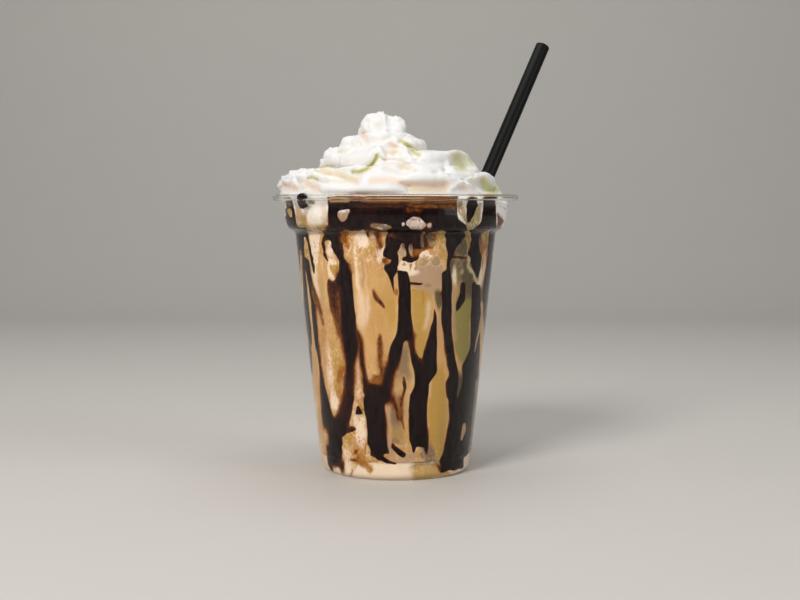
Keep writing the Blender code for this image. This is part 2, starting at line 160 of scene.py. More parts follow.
# Fades by name: 0 at the first value and 1 at the second.
FADES = {
    # Heights.
    "lively_foot": (79, 86),
    "lively_top": (98.6, 96.6),
    "lively_base": (22, 15),
    "lively_bead": (5.3, 7.8),
    "churn_foot": (70, 86),
    "churn_top": (97.6, 95.6),
    "streaks_foot": (99, 103),
    "smeared_low": (72, 48),
    "bead_milk": (7.9, 6.9),
    "cream_free": (109.6, 112.6),
    "cream_grip": (95.6, 96.4),
    "cream_melt": (98, 96.4),
    "left_crumbs_top": (124, 116),
    "left_crumbs_foot": (111, 114),
    "side_crumbs_foot": (118, 122),
    "crest_crumbs_foot": (133.5, 136),
    # Places to the right and to the back.
    "left_crumbs": (-20, -32),
    "side_crumbs": (-19, -23),
    "front_half": (18, 10),
    # Angles from the front.
    "lively_left": (0, -0.25),
    "lively_right": (0.9, 1.2),
    "crisp_right": (math.radians(24), math.radians(45)),
    # Distances inside the sauce's edge, and from the wall.
    "recess": (0.1, 3.2),
    "recess_edge": (0.1, 0.8),
    "lace_edge": (-5, -0.5),
    "near_wall": (2.5, 1.5),
    # Shares of a bubble's radius.
    "bubble": (1, 0.75),
    "bubble_film": (0.7, 1.1),
    # How far the skin faces the camera, as a cosine.
    "shown": (-0.05, 0.3),
    "seen": (-0.3, -0.05),
    "turned_off": (0.5, 0.1),
    # Levels of noise.
    "thin_back": (0.1, 0.7),
    "streaks": (-0.1, 0.6),
    "smeared": (-0.1, 0.7),
    "back_tint": (0, 0.8),
    "churn_pale": (0.25, 0.6),
    "churn_stain": (0.2, 0.7),
    "lace_patches": (-0.25, 0.35),
}

# Sauce on the wall, drawn over the photograph: each ribbon is a row of stations from the top down, with
# three numbers each, a pixel row and the pixel columns of the ribbon's left and right edge.
DARK_RIBBONS = {
    "band": (195,327.8,456.5, 217,327.8,457, 221,328,460.6, 226,328.4,467, 229.5,329,470.4),
    "band_hole": (198,467.6,476.6, 205,466.4,477.2, 210,466.2,475.4, 214,466.2,473.8, 218,466.6,471.4,
                  222,467,468.8),
    "band_right": (195.4,483.6,495.4, 216,481.4,495.6, 222,479.8,495.4, 226,476.6,495, 230,471.4,494.6),
    "band_left": (199,286,294, 204,287,294, 209.6,288,293.4),
    "band_left_tail": (207,292.8,295.2, 213,293,296, 219,292.6,296.4, 227,289,297),
    "band_left_line": (209,286,287.8, 214,287,289, 218,288.6,290.6),
    "band_left_foot": (216,286,290, 221,287,296, 228,290,298),
    "band_blob": (197,298.2,306.8, 203,299,306.2, 207,299.6,305.8, 209.6,301,304.6),
    "band_blob_tail": (204.2,305.6,308.6, 208.6,306.2,308.6),
    "left_rim": (226,292,300.6, 240,293,301, 256,294,301.2, 280,297,301.4, 303,299.6,302.2, 328,302,304.6,
                 352,305,306.8, 372,308,309),
    "left_edge": (227,297.6,306.5, 232,298.4,306.2, 241,300,304.8, 256,302.6,305.4, 270,303.6,305.8,
                  280,304,307, 303,304.8,309.2, 328,307.6,312, 345,311,313),
    "left_fork": (228,304.4,307.2, 241,307,309.6, 251.5,309.6,312, 263,312.6,315, 275,314.6,315.8),
    "left_second": (258,306,308.4, 263,305.6,310, 278,307.8,312.6, 303,311.8,316.4, 330,314.2,318.4,
                    350,316.4,320.4),
    "left_lower": (345,316.3,320, 359,318.8,321, 368.7,320,322.8, 386,320.8,325.8, 393.6,321,328,
                   407,322.2,331, 417.5,323,335, 424,323.8,342, 435.7,325.8,342.5, 454.8,327.8,342.6,
                   463.4,328.7,342),
    "left_short": (342,310,311, 350,309.4,312.2, 359,310.2,313, 373,312.6,313.6),
    "left_drip": (461,329,334, 467,330.6,334, 469.6,332,333),
    "left_drip_low": (461,338,344.6, 468,341,344.6, 472.4,342.8,343.6),
    "big": (226,327,340, 233,326,341, 240,327.8,342, 246,332.6,342.8, 256,337.4,345.4, 264,339.4,348.6,
            273,338.4,351.8, 280,334,352.6, 286,336,353, 294.6,337.6,353.8, 319.5,339,356.3,
            331,340,357.6, 344,342,358.8, 359,345,356.5, 368.7,345.5,355.4, 388,344,354.7, 397,342.4,355,
            408,339.6,353.4, 416,336.4,351.8, 423,334.4,349.8, 434,333,346),
    "big_red": (280,328,342, 290,328.2,342, 303,329.8,342, 312,332,342, 319,334.6,342),
    "big_branch": (228,325.4,330, 238,323.6,326.8, 245,322.6,326, 252,323.4,326.4, 257,324.2,327.8,
                   262,327.8,331.6),
    "left_slip": (287,311.4,314.2, 294,313,317, 300,315.4,319.6, 310,319.4,322, 323,323.2,324),
    "big_slip": (316,334,341, 326,336.2,341.6, 337,338.8,342.4),
    "centre_slip": (291,372.8,374.4, 297,373.6,378.2, 301,376,381, 305,379.6,384.4, 309.4,384.4,386),
    "centre_drop": (335,379.6,382, 342,378,383, 352,378.6,382.8, 362,379.6,382, 370,380.4,381.2),
    "fork_left": (332,357.4,359, 340,357.4,362.6, 354,359.2,364.2, 368.7,361,366.2, 380,362.4,368.6,
                  392,363.4,373.4),
    "centre": (227,388,410, 239,385.6,409, 244,385,403, 250,384.6,398.6, 262,386,398.4, 270,384.6,398,
               275.6,387,396, 279,389,393.8, 286,391,393.8, 294.4,393.2,394.2),
    "centre_veil": (227,402,437, 240,402.6,436.6, 247,403,436, 250,403,428, 255,403,419, 260,402.6,416.6,
                    262.6,404,411),
    "foam_dash": (281,411.6,424, 282.3,410,426, 283.4,412.4,420),
    "trunk": (271,399.8,408, 274,398.3,409.2, 290.5,398.3,410.7, 311,398.3,411.6, 325,397,413,
              336,395,414, 342,393,413),
    "trunk_left": (336,395,406.6, 347.7,390,402.6, 361,386.6,400, 373.5,383.6,395.7, 380,381.4,394,
                   386,376.6,392.6, 391,371,392.2, 398,365,393.6, 404,364.4,390),
    "trunk_tail": (396,389,393.6, 404,391.6,396, 412,394.8,398.6, 420,398.4,400.6),
    "lower_mid": (388,369,388, 398,364.4,387, 407,364.4,385.8, 416.6,366,386, 431,367.6,387,
                  445,368.9,388.6, 453,371.4,390.4, 456.4,373.4,389),
    "trunk_right": (336,406.6,414.2, 345,407.8,415.4, 350,409,416.2, 359,410.6,420.4, 368.7,412.6,429,
                    383,414.4,429.2, 390,412,428, 397.4,409.6,427.3, 410,409.2,427, 426,409,427.6,
                    435.7,409.2,429.2, 440.5,409.6,428.6, 446,413,427.4),
    "trunk_drip": (438,410,416, 446,411.4,415.6, 453,411.8,413.4),
    "trunk_drip_right": (438,423,429, 446,424.4,427.8, 455,425.4,426.4),
    "thin_fork": (307,434.4,435.8, 314,433.6,436.4, 319.5,433,437, 332,429.6,437, 340,426.8,436.9,
                  350,423.4,436.2, 359,421,436, 366,418,436.8, 373,415,436.8, 382,414.4,430),
    "curl": (375,403.2,404.6, 382,402.6,405.8, 388,402.6,406, 399,400,403.2, 414.6,400.4,402.8,
             431,403.6,405.2),
    "smear_left": (454.6,371,381, 457.4,373,384, 459.6,377,387.6, 461.6,382,396.6, 463.8,388,396),
    "smear_right": (443.6,392.4,394, 447,391.4,396.6, 449.8,393,401.4, 452.4,395.4,405.6, 454.6,397.6,406,
                    456.8,401,404.6),
    "dot": (291.6,438.6,440.2, 294.6,438.4,440.4),
    "hook": (425.4,341,353, 428,341,357.4, 430.6,341,353, 433,341,346),
    "spur": (405.6,358.4,359.6, 410,357,361, 414.6,355.4,363.6),
    "left_thread": (396,311.4,312.4, 405,312.4,313.6, 416,314,315.8, 432,315,315.8),
    "right": (227,445.4,463, 240,445.8,464.6, 252,446.2,464, 257,446.6,452, 262,447.6,450.6,
              270,445.6,450.6, 275,441.8,451.2, 300,441.4,451.4, 328,441.6,451.6, 340,443.6,452.4,
              350,444.2,453.8, 364,446.6,456, 375,447.9,458.4, 383,445.2,458, 394.5,445.4,456.2,
              401,447.7,457, 407,448,460),
    "right_bar": (255,447,471, 258.8,447,471),
    "right_lower": (403,448,477, 416.6,448.4,474.4, 426,447,473.2, 435.7,445.5,471.6, 445,443.6,470.2,
                    454.8,441.7,469.6, 461.5,438.6,468.6, 465,440,466),
    "right_second": (227,469.6,480.6, 240,469.8,479.4, 247,468.4,479.2, 256,467,480.6, 264,470.4,480.2,
                     270,472,479.2, 276,473.6,477.8, 279.6,475,476.6),
    "right_hook": (283,460.4,464.8, 292,459.4,465, 300,457.6,464.6, 306,456,461.6, 312,454.8,456.8),
    "right_edge": (282,472.4,478.2, 286,470.8,479.6, 303,470.4,480, 320,470.2,479.8, 340,470,479,
                   350,469,479, 358,465.6,478.6, 365.8,461.6,478, 380,461.6,477, 397,457.6,475.4,
                   407,455,475),
    "far_right": (227,488,501, 240,487.4,499, 250,486.6,497, 266,485,495.6, 285,482.4,494, 303,482,492,
                  320,482.6,490, 340,482.4,488, 368.7,479.4,485, 397,476.6,482, 426,473.6,478,
                  446,470.8,475),
    "far_curl": (227,480,485, 234,481,484),
    "lace_1": (229.5,366.2,368.8, 234,367.4,370, 239,368,369.6),
    "lace_2": (229.5,376.8,380.2, 236,376.2,378.8, 242,377,379.8, 249,379.4,381.8),
    "lace_3": (228.8,340,353, 231,342,352),
    "lace_4": (231,339.6,342, 240,341,343.2, 247,342,343.6),
    "lace_5": (249,383.4,386.2, 256,384.4,387, 262,385,388),
    "vee_fill": (379,362,366, 383,364,370, 387,365,378, 391,365,388, 396,365,388),
    "vee_drop": (377,375,380, 381,373.4,382, 385,372,384, 391,370,386),
    "vee_thread": (366,381,382.6, 376,381.6,384, 384,382,386),
}
PALE_RIBBONS = {
    "blob_left": (209.4,342,350.4, 211.6,337.8,350, 214,338.6,348.4, 216.4,337.4,347.8, 219.4,339.6,346.6,
                  223,341.6,344),
    "veil_1": (243,402.8,405.4, 249,400.6,406.6, 257,402,405),
    "veil_2": (243.6,409.8,412.4, 250,409.6,412.8, 256.6,410.4,412.8),
    "veil_3": (230,421,423.4, 238,420.6,423.6, 247,421,423),
    "veil_4": (231,428.4,434, 236,427.4,436.4, 243,427.6,437, 247,430,436),
    "blob_mid": (222.6,373,384, 225,369.4,391, 227.4,372,392),
    # Painted highlight: this pale line and the next one, along the cup's right edge, are gaps in the sauce
    # standing for the shine on the sheet's edge.
    "top_edge_highlight": (226,495.6,497.4, 234,494.6,496.6, 246,492.6,495, 256,491,492.8),
    "lower_edge_highlight": (312,480.6,482, 328,477.6,479.4, 342,475,476.6, 352,473.6,474.6),
    "haze": (238,462.4,464.4, 242,460.6,465.4, 246,457.6,465.4, 250,454.6,465.6, 256,453,466.6),
    "vee_left": (256,465.8,468.4, 264,467.2,470, 271,470,472.8, 277,472.8,475.8, 283,475.4,478.8),
    "vee_right": (254,483,486, 262,482.2,485, 270,480.6,483, 277,478.8,481.4, 283.6,476,479.4),
    "swirl": (453.4,383.6,388.4, 456,384.4,391.8, 458.6,387,393.2, 460,390,393),
    # Painted highlight: the shine on the cup's right edge, lower down.
    "foot_edge_highlight": (380,474.6,477, 397,473.4,475.6, 415,471.6,473.8, 440,469,471.4, 458,465.6,468.4,
                      472,462.8,465.8),
    "blob_centre": (217.6,412.6,419.6, 221,407.8,425, 225.6,407,425.7, 229,411.6,421.6),
    "bit_left": (222.6,401.8,404.8, 227,402,405),
    "bit_right": (221.6,427.4,431, 226.6,427.6,430.6),
    "notch": (255.6,383,387, 260,383,391, 264.6,383,388.4),
    "blip": (428.6,323.4,327, 436,322.4,329, 443,326,329),
    "patch_gold": (263,329.6,335, 268,328.8,337, 276,329.4,337.4, 282.4,331,334.6),
    "drop_right": (423,462.6,464.8, 430,461,465, 440.6,459.8,461.6),
    "bit_low": (456,463,465.4, 463,462.8,465.8, 469,463.6,465),
    "smudge_left": (304,446.8,448.4, 306,446.6,448.6),
}
# Places where the sauce is thin enough for light to come through: how much, softness, ribbon stations.
THIN_RIBBONS = {
    "band_line": (3.9, 0.7, 192,329,457, 200,329,457),
    "band_amber": (2.8, 1.6, 196,346,458, 204,372,458),
    "band_glow": (1.8, 2.2, 201,340,458, 210,362,456),
    "band_glow_right": (2.15, 2, 202,396,458, 210,416,458),
    "band_gold": (4.2, 1.2, 193,329,358, 202,329,348),
    "band_spot": (2, 3.2, 207,405,420, 211,403,423, 216,406,422),
    "band_mid": (0.9, 2, 221,368,394, 228,369,393),
    "hook": (1.7, 1.2, 424,348,358, 434,346,358),
    "band_left": (2.1, 1, 201,288,292, 208,289,292),
    "band_left_tail": (1.4, 1.4, 207,292,297, 216,292,297),
    "big_red": (1.75, 1.6, 282,328,342, 300,329,343, 326,334,342),
    "big_top": (1.3, 1.6, 229,329,336, 240,334,339),
    "big_low": (1.2, 2.4, 380,343,352, 400,342,351, 415,339,349, 428,334,345),
    "left_low": (1.3, 2, 410,328,337, 434,328,338),
    "left_foot": (1.3, 1.4, 446,335,343, 462,337,344),
    "centre_amber": (1.9, 1.4, 229,384,394, 235,386,397, 240,390,399),
    "centre_glow": (1.4, 1.4, 230,398,408, 242,396,404),
    "veil_red": (1.45, 1.6, 229,410.6,420, 240,411.6,419, 252,412,418),
    "veil_brown": (2.4, 1.4, 245,413,438, 252,411,430, 259,405,416),
    "big_slip": (2, 1.2, 317,333,341, 328,335,341, 338,338,343),
    "left_slip": (2, 1.2, 286,310,315, 300,314,320, 323,322,325),
    "brown_patch": (1.5, 1.4, 359,337,343, 370,337,345, 382,338,343),
    "centre_drop": (1.5, 1.2, 335,377,384, 352,377,384, 370,379,382),
    "centre_slip": (1.3, 1.2, 291,372,376, 300,376,382, 309,383,387),
    "tip": (1.7, 1.4, 352,413,420, 362,417,424, 369,420,426),
    "vee": (1.3, 2, 384,366,378, 392,368,380, 404,370,378),
    "thin_fork": (1.3, 1.4, 307,432,438, 325,429,435, 345,422,428, 358,418,424),
    "curl": (1, 1.2, 376,402,407, 400,400,404, 430,402,406),
    "right_bar": (1, 1, 254,448,471, 259,448,471),
    "haze_edge": (0.5, 2, 238,452,464, 255,452,466),
    "lace_high": (1.3, 1.2, 228,339,382, 250,339,384),
    "vee_fill": (2.9, 3, 374,368,383, 386,369,382),
    "far_curl": (1.9, 1, 227,480,485, 234,481,484),
}
# Where the sauce's edges are crisp, with no film beside them.
CRISP_RIBBONS = ((234,318,342, 286,322,344), (438,378,445, 474,384,445), (204,330,458, 229,330,458))
# Washes of colour at the wall, over the drink and the cream's edge: how much, softness, ribbon stations.
LIVELY_WASHES = (
    (0.4, 4, 282,326,345, 345,328,346, 400,328,345, 420,326,344),
    (0.8, 4, 385,340,368, 430,340,368, 462,340,372),
    (0.7, 3, 368,356,384, 395,358,388),
    (0.25, 4, 436,372,412, 466,372,436),
    (0.2, 4, 285,305,330, 410,310,336),
    (0.4, 2, 342,326,346, 386,328,346),
    (0.6, 2, 446,404,436, 464,402,438),
    (0.9, 1, 208,335,352, 225,336,350),
    (0.6, 1, 217,368,432, 229,368,432),
    (0.8, 1, 199,457,483, 229,460,478),
    (0.9, 1.2, 240,452,466, 257,452,467),
)
GOLD_WASHES = (
    (0.6, 1.5, 229,302,309, 236,303,311, 246,308,312),
    (0.5, 2, 229,319,327, 245,320,324, 262,319,325),
    (0.5, 2.5, 272,318,326, 290,319,327, 310,323,329),
    (0.95, 1, 250.6,306.4,310, 254.8,304.6,312, 259,306.6,310),
    (0.95, 1, 268,331,337, 273,331.6,337, 278,333,336),
    (0.8, 1.8, 248,366,376, 253,365,374, 258,365,370),
    (0.35, 4, 262,366,382, 300,368,390, 340,372,388),
    (0.7, 2.2, 290,385,397, 310,387,397, 330,388,395),
    (1, 1, 229,437.6,445, 246,438,445, 262,439,446),
    (1, 2, 287,412,432, 300,412,431, 330,414.6,428, 352,417,424, 366,420,424),
    (0.5, 2, 330,328,340, 360,328,343, 390,330,343, 410,334,340),
    (0.9, 1.6, 358,337,345.6, 370,335.6,345.6, 386,335,344),
    (0.5, 1.4, 405,318,321, 430,318,323, 450,320,324, 468,321,328),
    (0.5, 1.8, 432,343,356, 442,345,358, 448,350,358),
    (0.6, 1.4, 434,343,350, 439,343,352),
    (0.4, 1.6, 447,357,371, 456,352,370, 462,352,366),
    (1, 1.4, 452,353,366, 461,352,368, 466,356,368),
    (0.9, 1.2, 461,364,373, 468,365,373, 472,366,371),
    (0.5, 1.5, 463,349,359, 468,350,359, 472,352,357),
    (0.6, 2, 425,391,403, 436,390,408, 450,394,409),
    (0.5, 1.4, 448,411,425, 462,415,428),
    (0.9, 2.4, 464,411,446, 479,413,448),
    (1, 2, 366,436,446, 385,430,445, 430,429,446, 450,431,443, 462,433,441),
    (0.9, 1, 208.6,287.6,292.6, 213,288,292.6, 219,289,292.6),
    (0.7, 1.4, 207,295.6,300, 216,296,302, 226,297.6,304),
    (0.8, 1.2, 216,302,307, 227,302,309),
    (0.4, 1.2, 203,322,327.6, 228,323,327.6),
    (0.7, 0.9, 225,297,327.6, 229.4,298,327.6),
    (0.35, 1.4, 218,308,328, 228,308,328),
    (0.8, 1.2, 208,474,480, 216,471,480.6, 227,466,478),
    (0.9, 0.8, 259,446,449.4, 268,446,450),
    (0.8, 0.8, 268,455,466, 274,452,468, 280,452,460),
    (0.8, 0.5, 258,467,472.4, 267,467.6,473, 277,470.6,475.4, 282.6,474,478),
    (0.9, 0.8, 228,482,488, 240,481,487, 252,479,487, 266,478.6,485, 279,477,481),
)
PALE_WASHES = (
    (1, 2.4, 229,310,319, 240,311,320, 252,312,319, 268,314,318),
    (0.5, 1.2, 258,320,323, 267,320.5,322.5),
    (0.6, 2.5, 262,311,317, 285,314,320, 305,317,323),
    (0.62, 3, 345,323,333, 365,325,334, 388,328,336),
    (0.9, 1, 230,301.6,304, 236,303,306, 242,305,307),
    (0.7, 1.2, 240,327,331, 250,327,335, 259,329,336),
    (0.9, 1.2, 261.5,329,336, 265,329,337, 268,330,337),
    (0.95, 0.9, 266,328.4,330.4, 274,329,331.6, 280,331.6,334.4, 285,334,338),
    (0.8, 0.8, 246,349,351, 258,349.4,351.2),
    (0.7, 1.2, 240,353,357, 262,354,358, 290,356,360),
    (1, 2.2, 229,355,367, 240,357,368, 249,359,366, 256,361.6,364),
    (0.4, 1, 262,364,366, 290,364,366),
    (0.6, 1.2, 230,371,376, 238,371,376, 246,369,376),
    (0.9, 1.6, 251,374,384, 257,376,386, 264,379,385),
    (0.55, 2.4, 285,355,362, 310,357,368, 330,358,366),
    (0.5, 1.4, 288,365,370, 305,367,371, 322,368,371),
    (1, 1.2, 253,420,431, 256,419,432, 260,419,431),
    (0.9, 1.4, 261,400,416, 267,398.6,418, 272.5,398.6,420),
    (0.5, 1.2, 264,428,441, 268,428,441),
    (0.5, 2, 300,424,431, 316,424,430, 330,422,428),
    (0.75, 1.2, 268,451.6,456, 280,451.6,456.4, 289,452,456),
    (0.8, 0.7, 283,301.6,303.6, 303,303,305, 326,305.6,307.6),
    (0.9, 2, 390,330,337, 402,330,339, 412,332,339),
    (0.5, 1.6, 400,314,318, 430,316,320, 460,320,326),
    (0.45, 1.6, 340,357,360, 390,356,362, 405,355,361),
    (0.72, 2, 415,352,366, 430,355,367, 446,358,367),
    (0.6, 1.6, 446,342,350, 456,343,351, 462,345,350),
    (0.9, 1.2, 463,358,366, 470,355,366, 479,352,380),
    (0.25, 1.4, 388,392,400, 398,395,401),
    (0.35, 1.6, 203,308,328, 226,308,328),
    (0.35, 2, 199,456,483, 228,458,482),
    (0.5, 0.6, 255,465.4,468.8, 264,466.8,470.4, 271,469.6,473.2, 277,472.4,476, 284,475,479.4),
    (0.8, 0.5, 254,478.6,485, 257,478,480.4, 266,478.4,480.6, 276,478,480.4, 284,476,479),
    (0.6, 0.6, 253,482.6,486.4, 262,481.8,485.4, 270,480.2,483.4, 277,478.4,481.8, 284,475.6,480),
)
FOAM_WASHES = (
    (0.45, 2, 268,318,324, 300,320,328, 334,323,331),
    (0.5, 1.2, 241,327,330, 250,327,335, 260,329,336),
    (0.5, 0.8, 235,355.6,357.4, 246,357,359),
    (0.8, 1, 256,360.6,363, 268,360.4,363.6, 287,361,363.4),
    (0.6, 1, 239,380,384, 246,379.6,384, 250,381,385),
    (1, 1, 242,402,406, 249,399.6,407, 258,400,406),
    (0.9, 1.2, 230,420.4,424, 246,420.4,424),
    (0.95, 1.6, 262,418,441, 272,411,441.4, 281,410.4,441.4, 290,421,441),
    (0.9, 1.6, 288,428,436, 297,428,435),
    (0.35, 2, 306,437,443, 330,437,443, 352,436,444),
    (0.7, 1, 287,451.6,455.6, 320,451.6,455, 345,453,456),
    (0.75, 1.6, 398,386,391, 415,387.6,393, 432,388,394),
    (0.5, 1.2, 384,403,409, 400,403,409, 425,404,409),
    (0.9, 1, 433,386,389.6, 442,387,391, 452,390,395, 461,394,400),
    (0.8, 1.4, 452,403,415, 458,398,416, 463,398,412),
    (0.6, 0.8, 463,448.6,451.6, 471,447,451),
    (0.5, 0.8, 200,281.6,286, 208,283,287, 216,284.6,287.4),
    (0.5, 1, 205,303,308, 214,303,309, 222,303,308.6),
    (0.4, 1.6, 206,321,327, 224,320,327),
    (0.9, 1.2, 209,334,351, 216,334,350, 226,337,347),
    (0.5, 1.4, 216,405,427, 230,406,427),
    (0.3, 0.8, 220,400,406, 229,400,406),
    (0.5, 0.8, 220,426,432, 228,426,432),
    (0.6, 1, 202,462.6,466.4, 218,463,467),
    (0.7, 1, 201,476.6,482, 214,476,481.6),
    (0.8, 1, 422,459,466, 442,459,466),
    (0.9, 0.8, 230,428,434, 238,427,436.6, 246,428,436),
    (0.5, 0.8, 247,460,463, 255,459,464),
    # These three rows colour the painted highlight along the cup's right edge.
    (1, 0.5, 277,479.4,482, 290,479.4,481.4, 298,479,480.6),
    (0.9, 0.5, 226,495,498, 256,490.6,493.4),
    (0.9, 0.5, 310,479.6,483, 354,472.6,476),
    (0.8, 0.5, 286,471.4,473, 305,470.4,472.2, 330,468,470.4, 345,467.6,469.4),
)
STAIN_WASHES = (
    (0.5, 0.8, 250,334,338, 254,334,339, 258,334,338),
    (0.9, 1.2, 270,336,340, 277,335.4,340, 286,336,340),
    (0.7, 1.2, 230,337,342, 235,336,342, 240,338,342),
    (0.5, 1, 229.5,343,353, 231.6,343,353),
    (0.9, 1.6, 230,341,347, 242,342,348.6, 252,345,350),
    (0.95, 0.9, 230.6,366.6,370, 237,367,370),
    (0.95, 1.2, 230,376.6,381, 240,376,380, 248,378,382),
    (1, 1, 257.5,385,389, 261,384,390, 265.5,384.6,389),
    (0.7, 1, 288,393,398, 294,393,398),
    (0.9, 1.2, 234,432,437, 242,433,437),
    (0.8, 0.8, 262,410.6,413, 266,410.6,413),
    (0.6, 0.8, 262,416,418.6, 266,416,418.6),
    (0.45, 0.8, 288,420.6,423, 300,420.8,423, 309,421,423),
    (0.6, 1, 287,412.6,416, 291,413,416),
    (0.5, 1.2, 338,341,346, 350,341,346),
    (0.75, 1.8, 361,339,345.6, 370,338,345.6, 382,337,344),
    (0.5, 1, 386,337,343, 402,337,342),
    (0.45, 1.6, 388,327,331, 404,328,332, 416,330,334),
    (0.4, 2, 322,321,327, 345,322,328, 372,324,330),
    (0.4, 1.2, 390,353,356, 405,351,354, 414,350,353),
    (0.7, 0.8, 428,351,356, 431,351,356),
    (0.3, 3, 430,344,358, 450,346,368, 466,348,368),
    (0.9, 1, 449,354,359, 453,352,358),
    (0.9, 1, 457,350,356, 461,350,358),
    (0.5, 1.6, 455,357,366, 461,356,368, 465,360,368),
    (0.5, 1.2, 463,367,372, 468,367,372.6, 472,367,370),
    (0.5, 0.8, 471,350,353, 477,350,354),
    (1, 1.2, 463,434,448, 468,436,450, 471.6,438,446),
    (0.6, 0.8, 216,410,420, 219.5,409,421),
    (0.5, 0.8, 218,462,466, 224,466,470),
    (1, 0.8, 215.6,496,502, 219,496.6,503, 224,497,502),
    (0.55, 1.6, 240,452,460, 250,452,457, 257,452,456),
    (0.6, 0.8, 240,481,486, 253,480,486),
)
# Painted shade: patches where the drink, and the cream at the band, are darkened.
SHADE_WASHES = (
    (0.35, 1.5, 232,344,352, 238,344,352),
    (0.9, 1, 242,408.6,413.6, 258,409,414),
    (0.6, 0.8, 281,421.6,425, 285,424,430, 287,427,431),
    (0.75, 2, 342,403,408, 356,399,409, 372,396.6,412, 384,394.6,414),
    (0.8, 1.2, 262,456,463, 270,458,464, 277,460,465),
    (0.7, 1.6, 284,461,474, 292,462,472, 300,466,472),
    (0.9, 2, 394,390,402, 414,392,403, 428,394,403),
    (0.4, 2, 428,391,404, 450,394,409),
    (0.8, 1.6, 440,426,433, 450,420,434, 458,421,435, 464,428,436),
    (0.6, 1, 442,393,400, 447,393,402),
    (0.3, 2.4, 415,438,447, 462,434,443),
    (0.3, 1.4, 440,427,431, 456,428,434),
    (0.5, 0.8, 209.6,307,311, 214,308,311.4),
    (0.32, 3, 200,296,328, 228,296,328),
    (1, 1.2, 221,368,394, 229,368,394),
    (0.9, 1, 380,456,464, 410,455,461),
    (0.8, 1, 376,472,479, 415,470,476, 445,467,473, 474,461,468),
)
DUSK_WASHES = (
    (0.9, 1.4, 292,433,439, 299,434,441, 306,437,441.4),
    (0.2, 1.6, 404,392,400, 414,393,402, 426,397,403),
    (0.7, 0.7, 462.4,398,441, 465,398,441),
    (0.9, 1.4, 376,456,464, 412,455,461),
    (0.6, 0.6, 205.6,498,505, 207.6,498,505),
    (1, 1.4, 229,403,437, 247,403,437),
    (1, 1.2, 238,451,466, 257,451,467),
    (0.5, 2, 257,448,472, 280,452,472, 292,456,471),
    (0.9, 1, 258,449,456, 266,449,453, 281,448.6,452.6),
    (0.8, 0.8, 259,464,467.4, 268,464,468, 276,466,470, 284,470,474),
    (0.8, 1, 276,462,472, 290,464,471, 300,466,471),
    (0.7, 0.8, 230,479.6,483, 246,479,483, 253,478.6,482),
    (0.5, 0.8, 228,485,487.6, 252,484.6,487),
    (0.8, 0.6, 284,478.6,483, 300,478.6,483),
)
# Olive is mostly painted shade: the drink's duller colour on its dim right side, with a few spots on the
# left.
OLIVE_SHADE_WASHES = (
    (0.8, 1.4, 229,463.6,470.4, 247,464,469.4, 258,466,469),
    (1, 1.6, 297,457,471, 315,453.6,471, 345,453.6,470, 366,457,465),
    (0.4, 1.2, 362,338,344, 377,337,343),
    (0.22, 2.4, 385,437,447, 430,437,447, 462,434,441),
    (0.9, 0.8, 199.5,309,316, 202,309,316, 204.4,311,315),
    (0.7, 0.6, 226,298,327.6, 228.6,298,327.6),
    (0.95, 1.1, 199,457,462.6, 208,457,465, 216,459.6,467, 224,465.6,472),
    (0.25, 1, 199,496,506, 216,496,506),
    (0.95, 0.9, 208,475.6,480, 214,473.6,480, 220,469,479, 228,467,475),
    (0.35, 0.8, 200,496,504, 203,496,505),
    (0.7, 1.2, 246,459,464, 256,456,465),
    (1, 1.2, 258,448,472, 270,450,472, 284,455,471),
    (1, 0.6, 256,466,473, 266,467,474, 276,470,477, 283,474,479),
)
WASHES = {"lively": LIVELY_WASHES, "gold": GOLD_WASHES, "pale": PALE_WASHES, "foam": FOAM_WASHES,
          "stain": STAIN_WASHES, "shade": SHADE_WASHES, "dusk": DUSK_WASHES, "olive": OLIVE_SHADE_WASHES}
# Bubbles in the foam under the wall: row, column, radius, in the photograph's pixels.
FOAM_BUBBLES = ((261.6, 423.6, 4.6), (261.2, 435.4, 5.0), (268, 417, 1.8), (257, 428.6, 1.4),
                (271.5, 462.5, 2.6), (264.4, 406, 1.5), (277, 457, 1.5), (255.6, 423.6, 1.3))
# Sauce spilt over the rim at the left: lumps as for the cream.
RIM_SAUCE = ((-34.9, -32.6, 109.3, 1.75, 1.25), (-33.8, -33.8, 109.1, 1.0, 0.9),
             (-35.9, -31.6, 108.9, 1.0, 0.9))

# Runs round the back, which the photograph doesn't show: the part's own rule, then thinner ones between.
BACK_RUNS, BACK_SEED = 7, 5
BACK_ARC = (84, 276)
BACK_HEIGHTS = (93, 75, 56, 34)
BACK_FEET = (9, 13, 20)
# Height of the runs' start, how far they drift in degrees, their half widths, and the drop that ends them.
BACK_TOP, BACK_DRIFT, BACK_HALVES = 98, 5, (2.0, 4.6)
BACK_DROP, BACK_DROP_HALF = 3, 0.4
BACK_THREADS, BACK_THREAD_SEED = 16, 21
# The threads' places in their share of the arc, their tops, lengths and half widths.
THREAD_PLACES, THREAD_TOPS = (0.1, 0.9), (98, 98, 80, 62)
THREAD_LENGTHS, THREAD_HALVES = (18, 46), (0.7, 1.7)
# A thread's width along its way, as shares; one that starts lower than the band has a thin top.
THREAD_FORM, THREAD_TIP_HALF = ((0.4, 1.0), (0.8, 0.8)), 0.2
THREAD_BAND_FOOT, THREAD_THIN_TOP = 90, 0.3
# The front ribbons hold to this angle from the front, and the back's rule takes over within the blend.
FRONT_LIMIT, FRONT_BLEND = math.radians(88), math.radians(4)

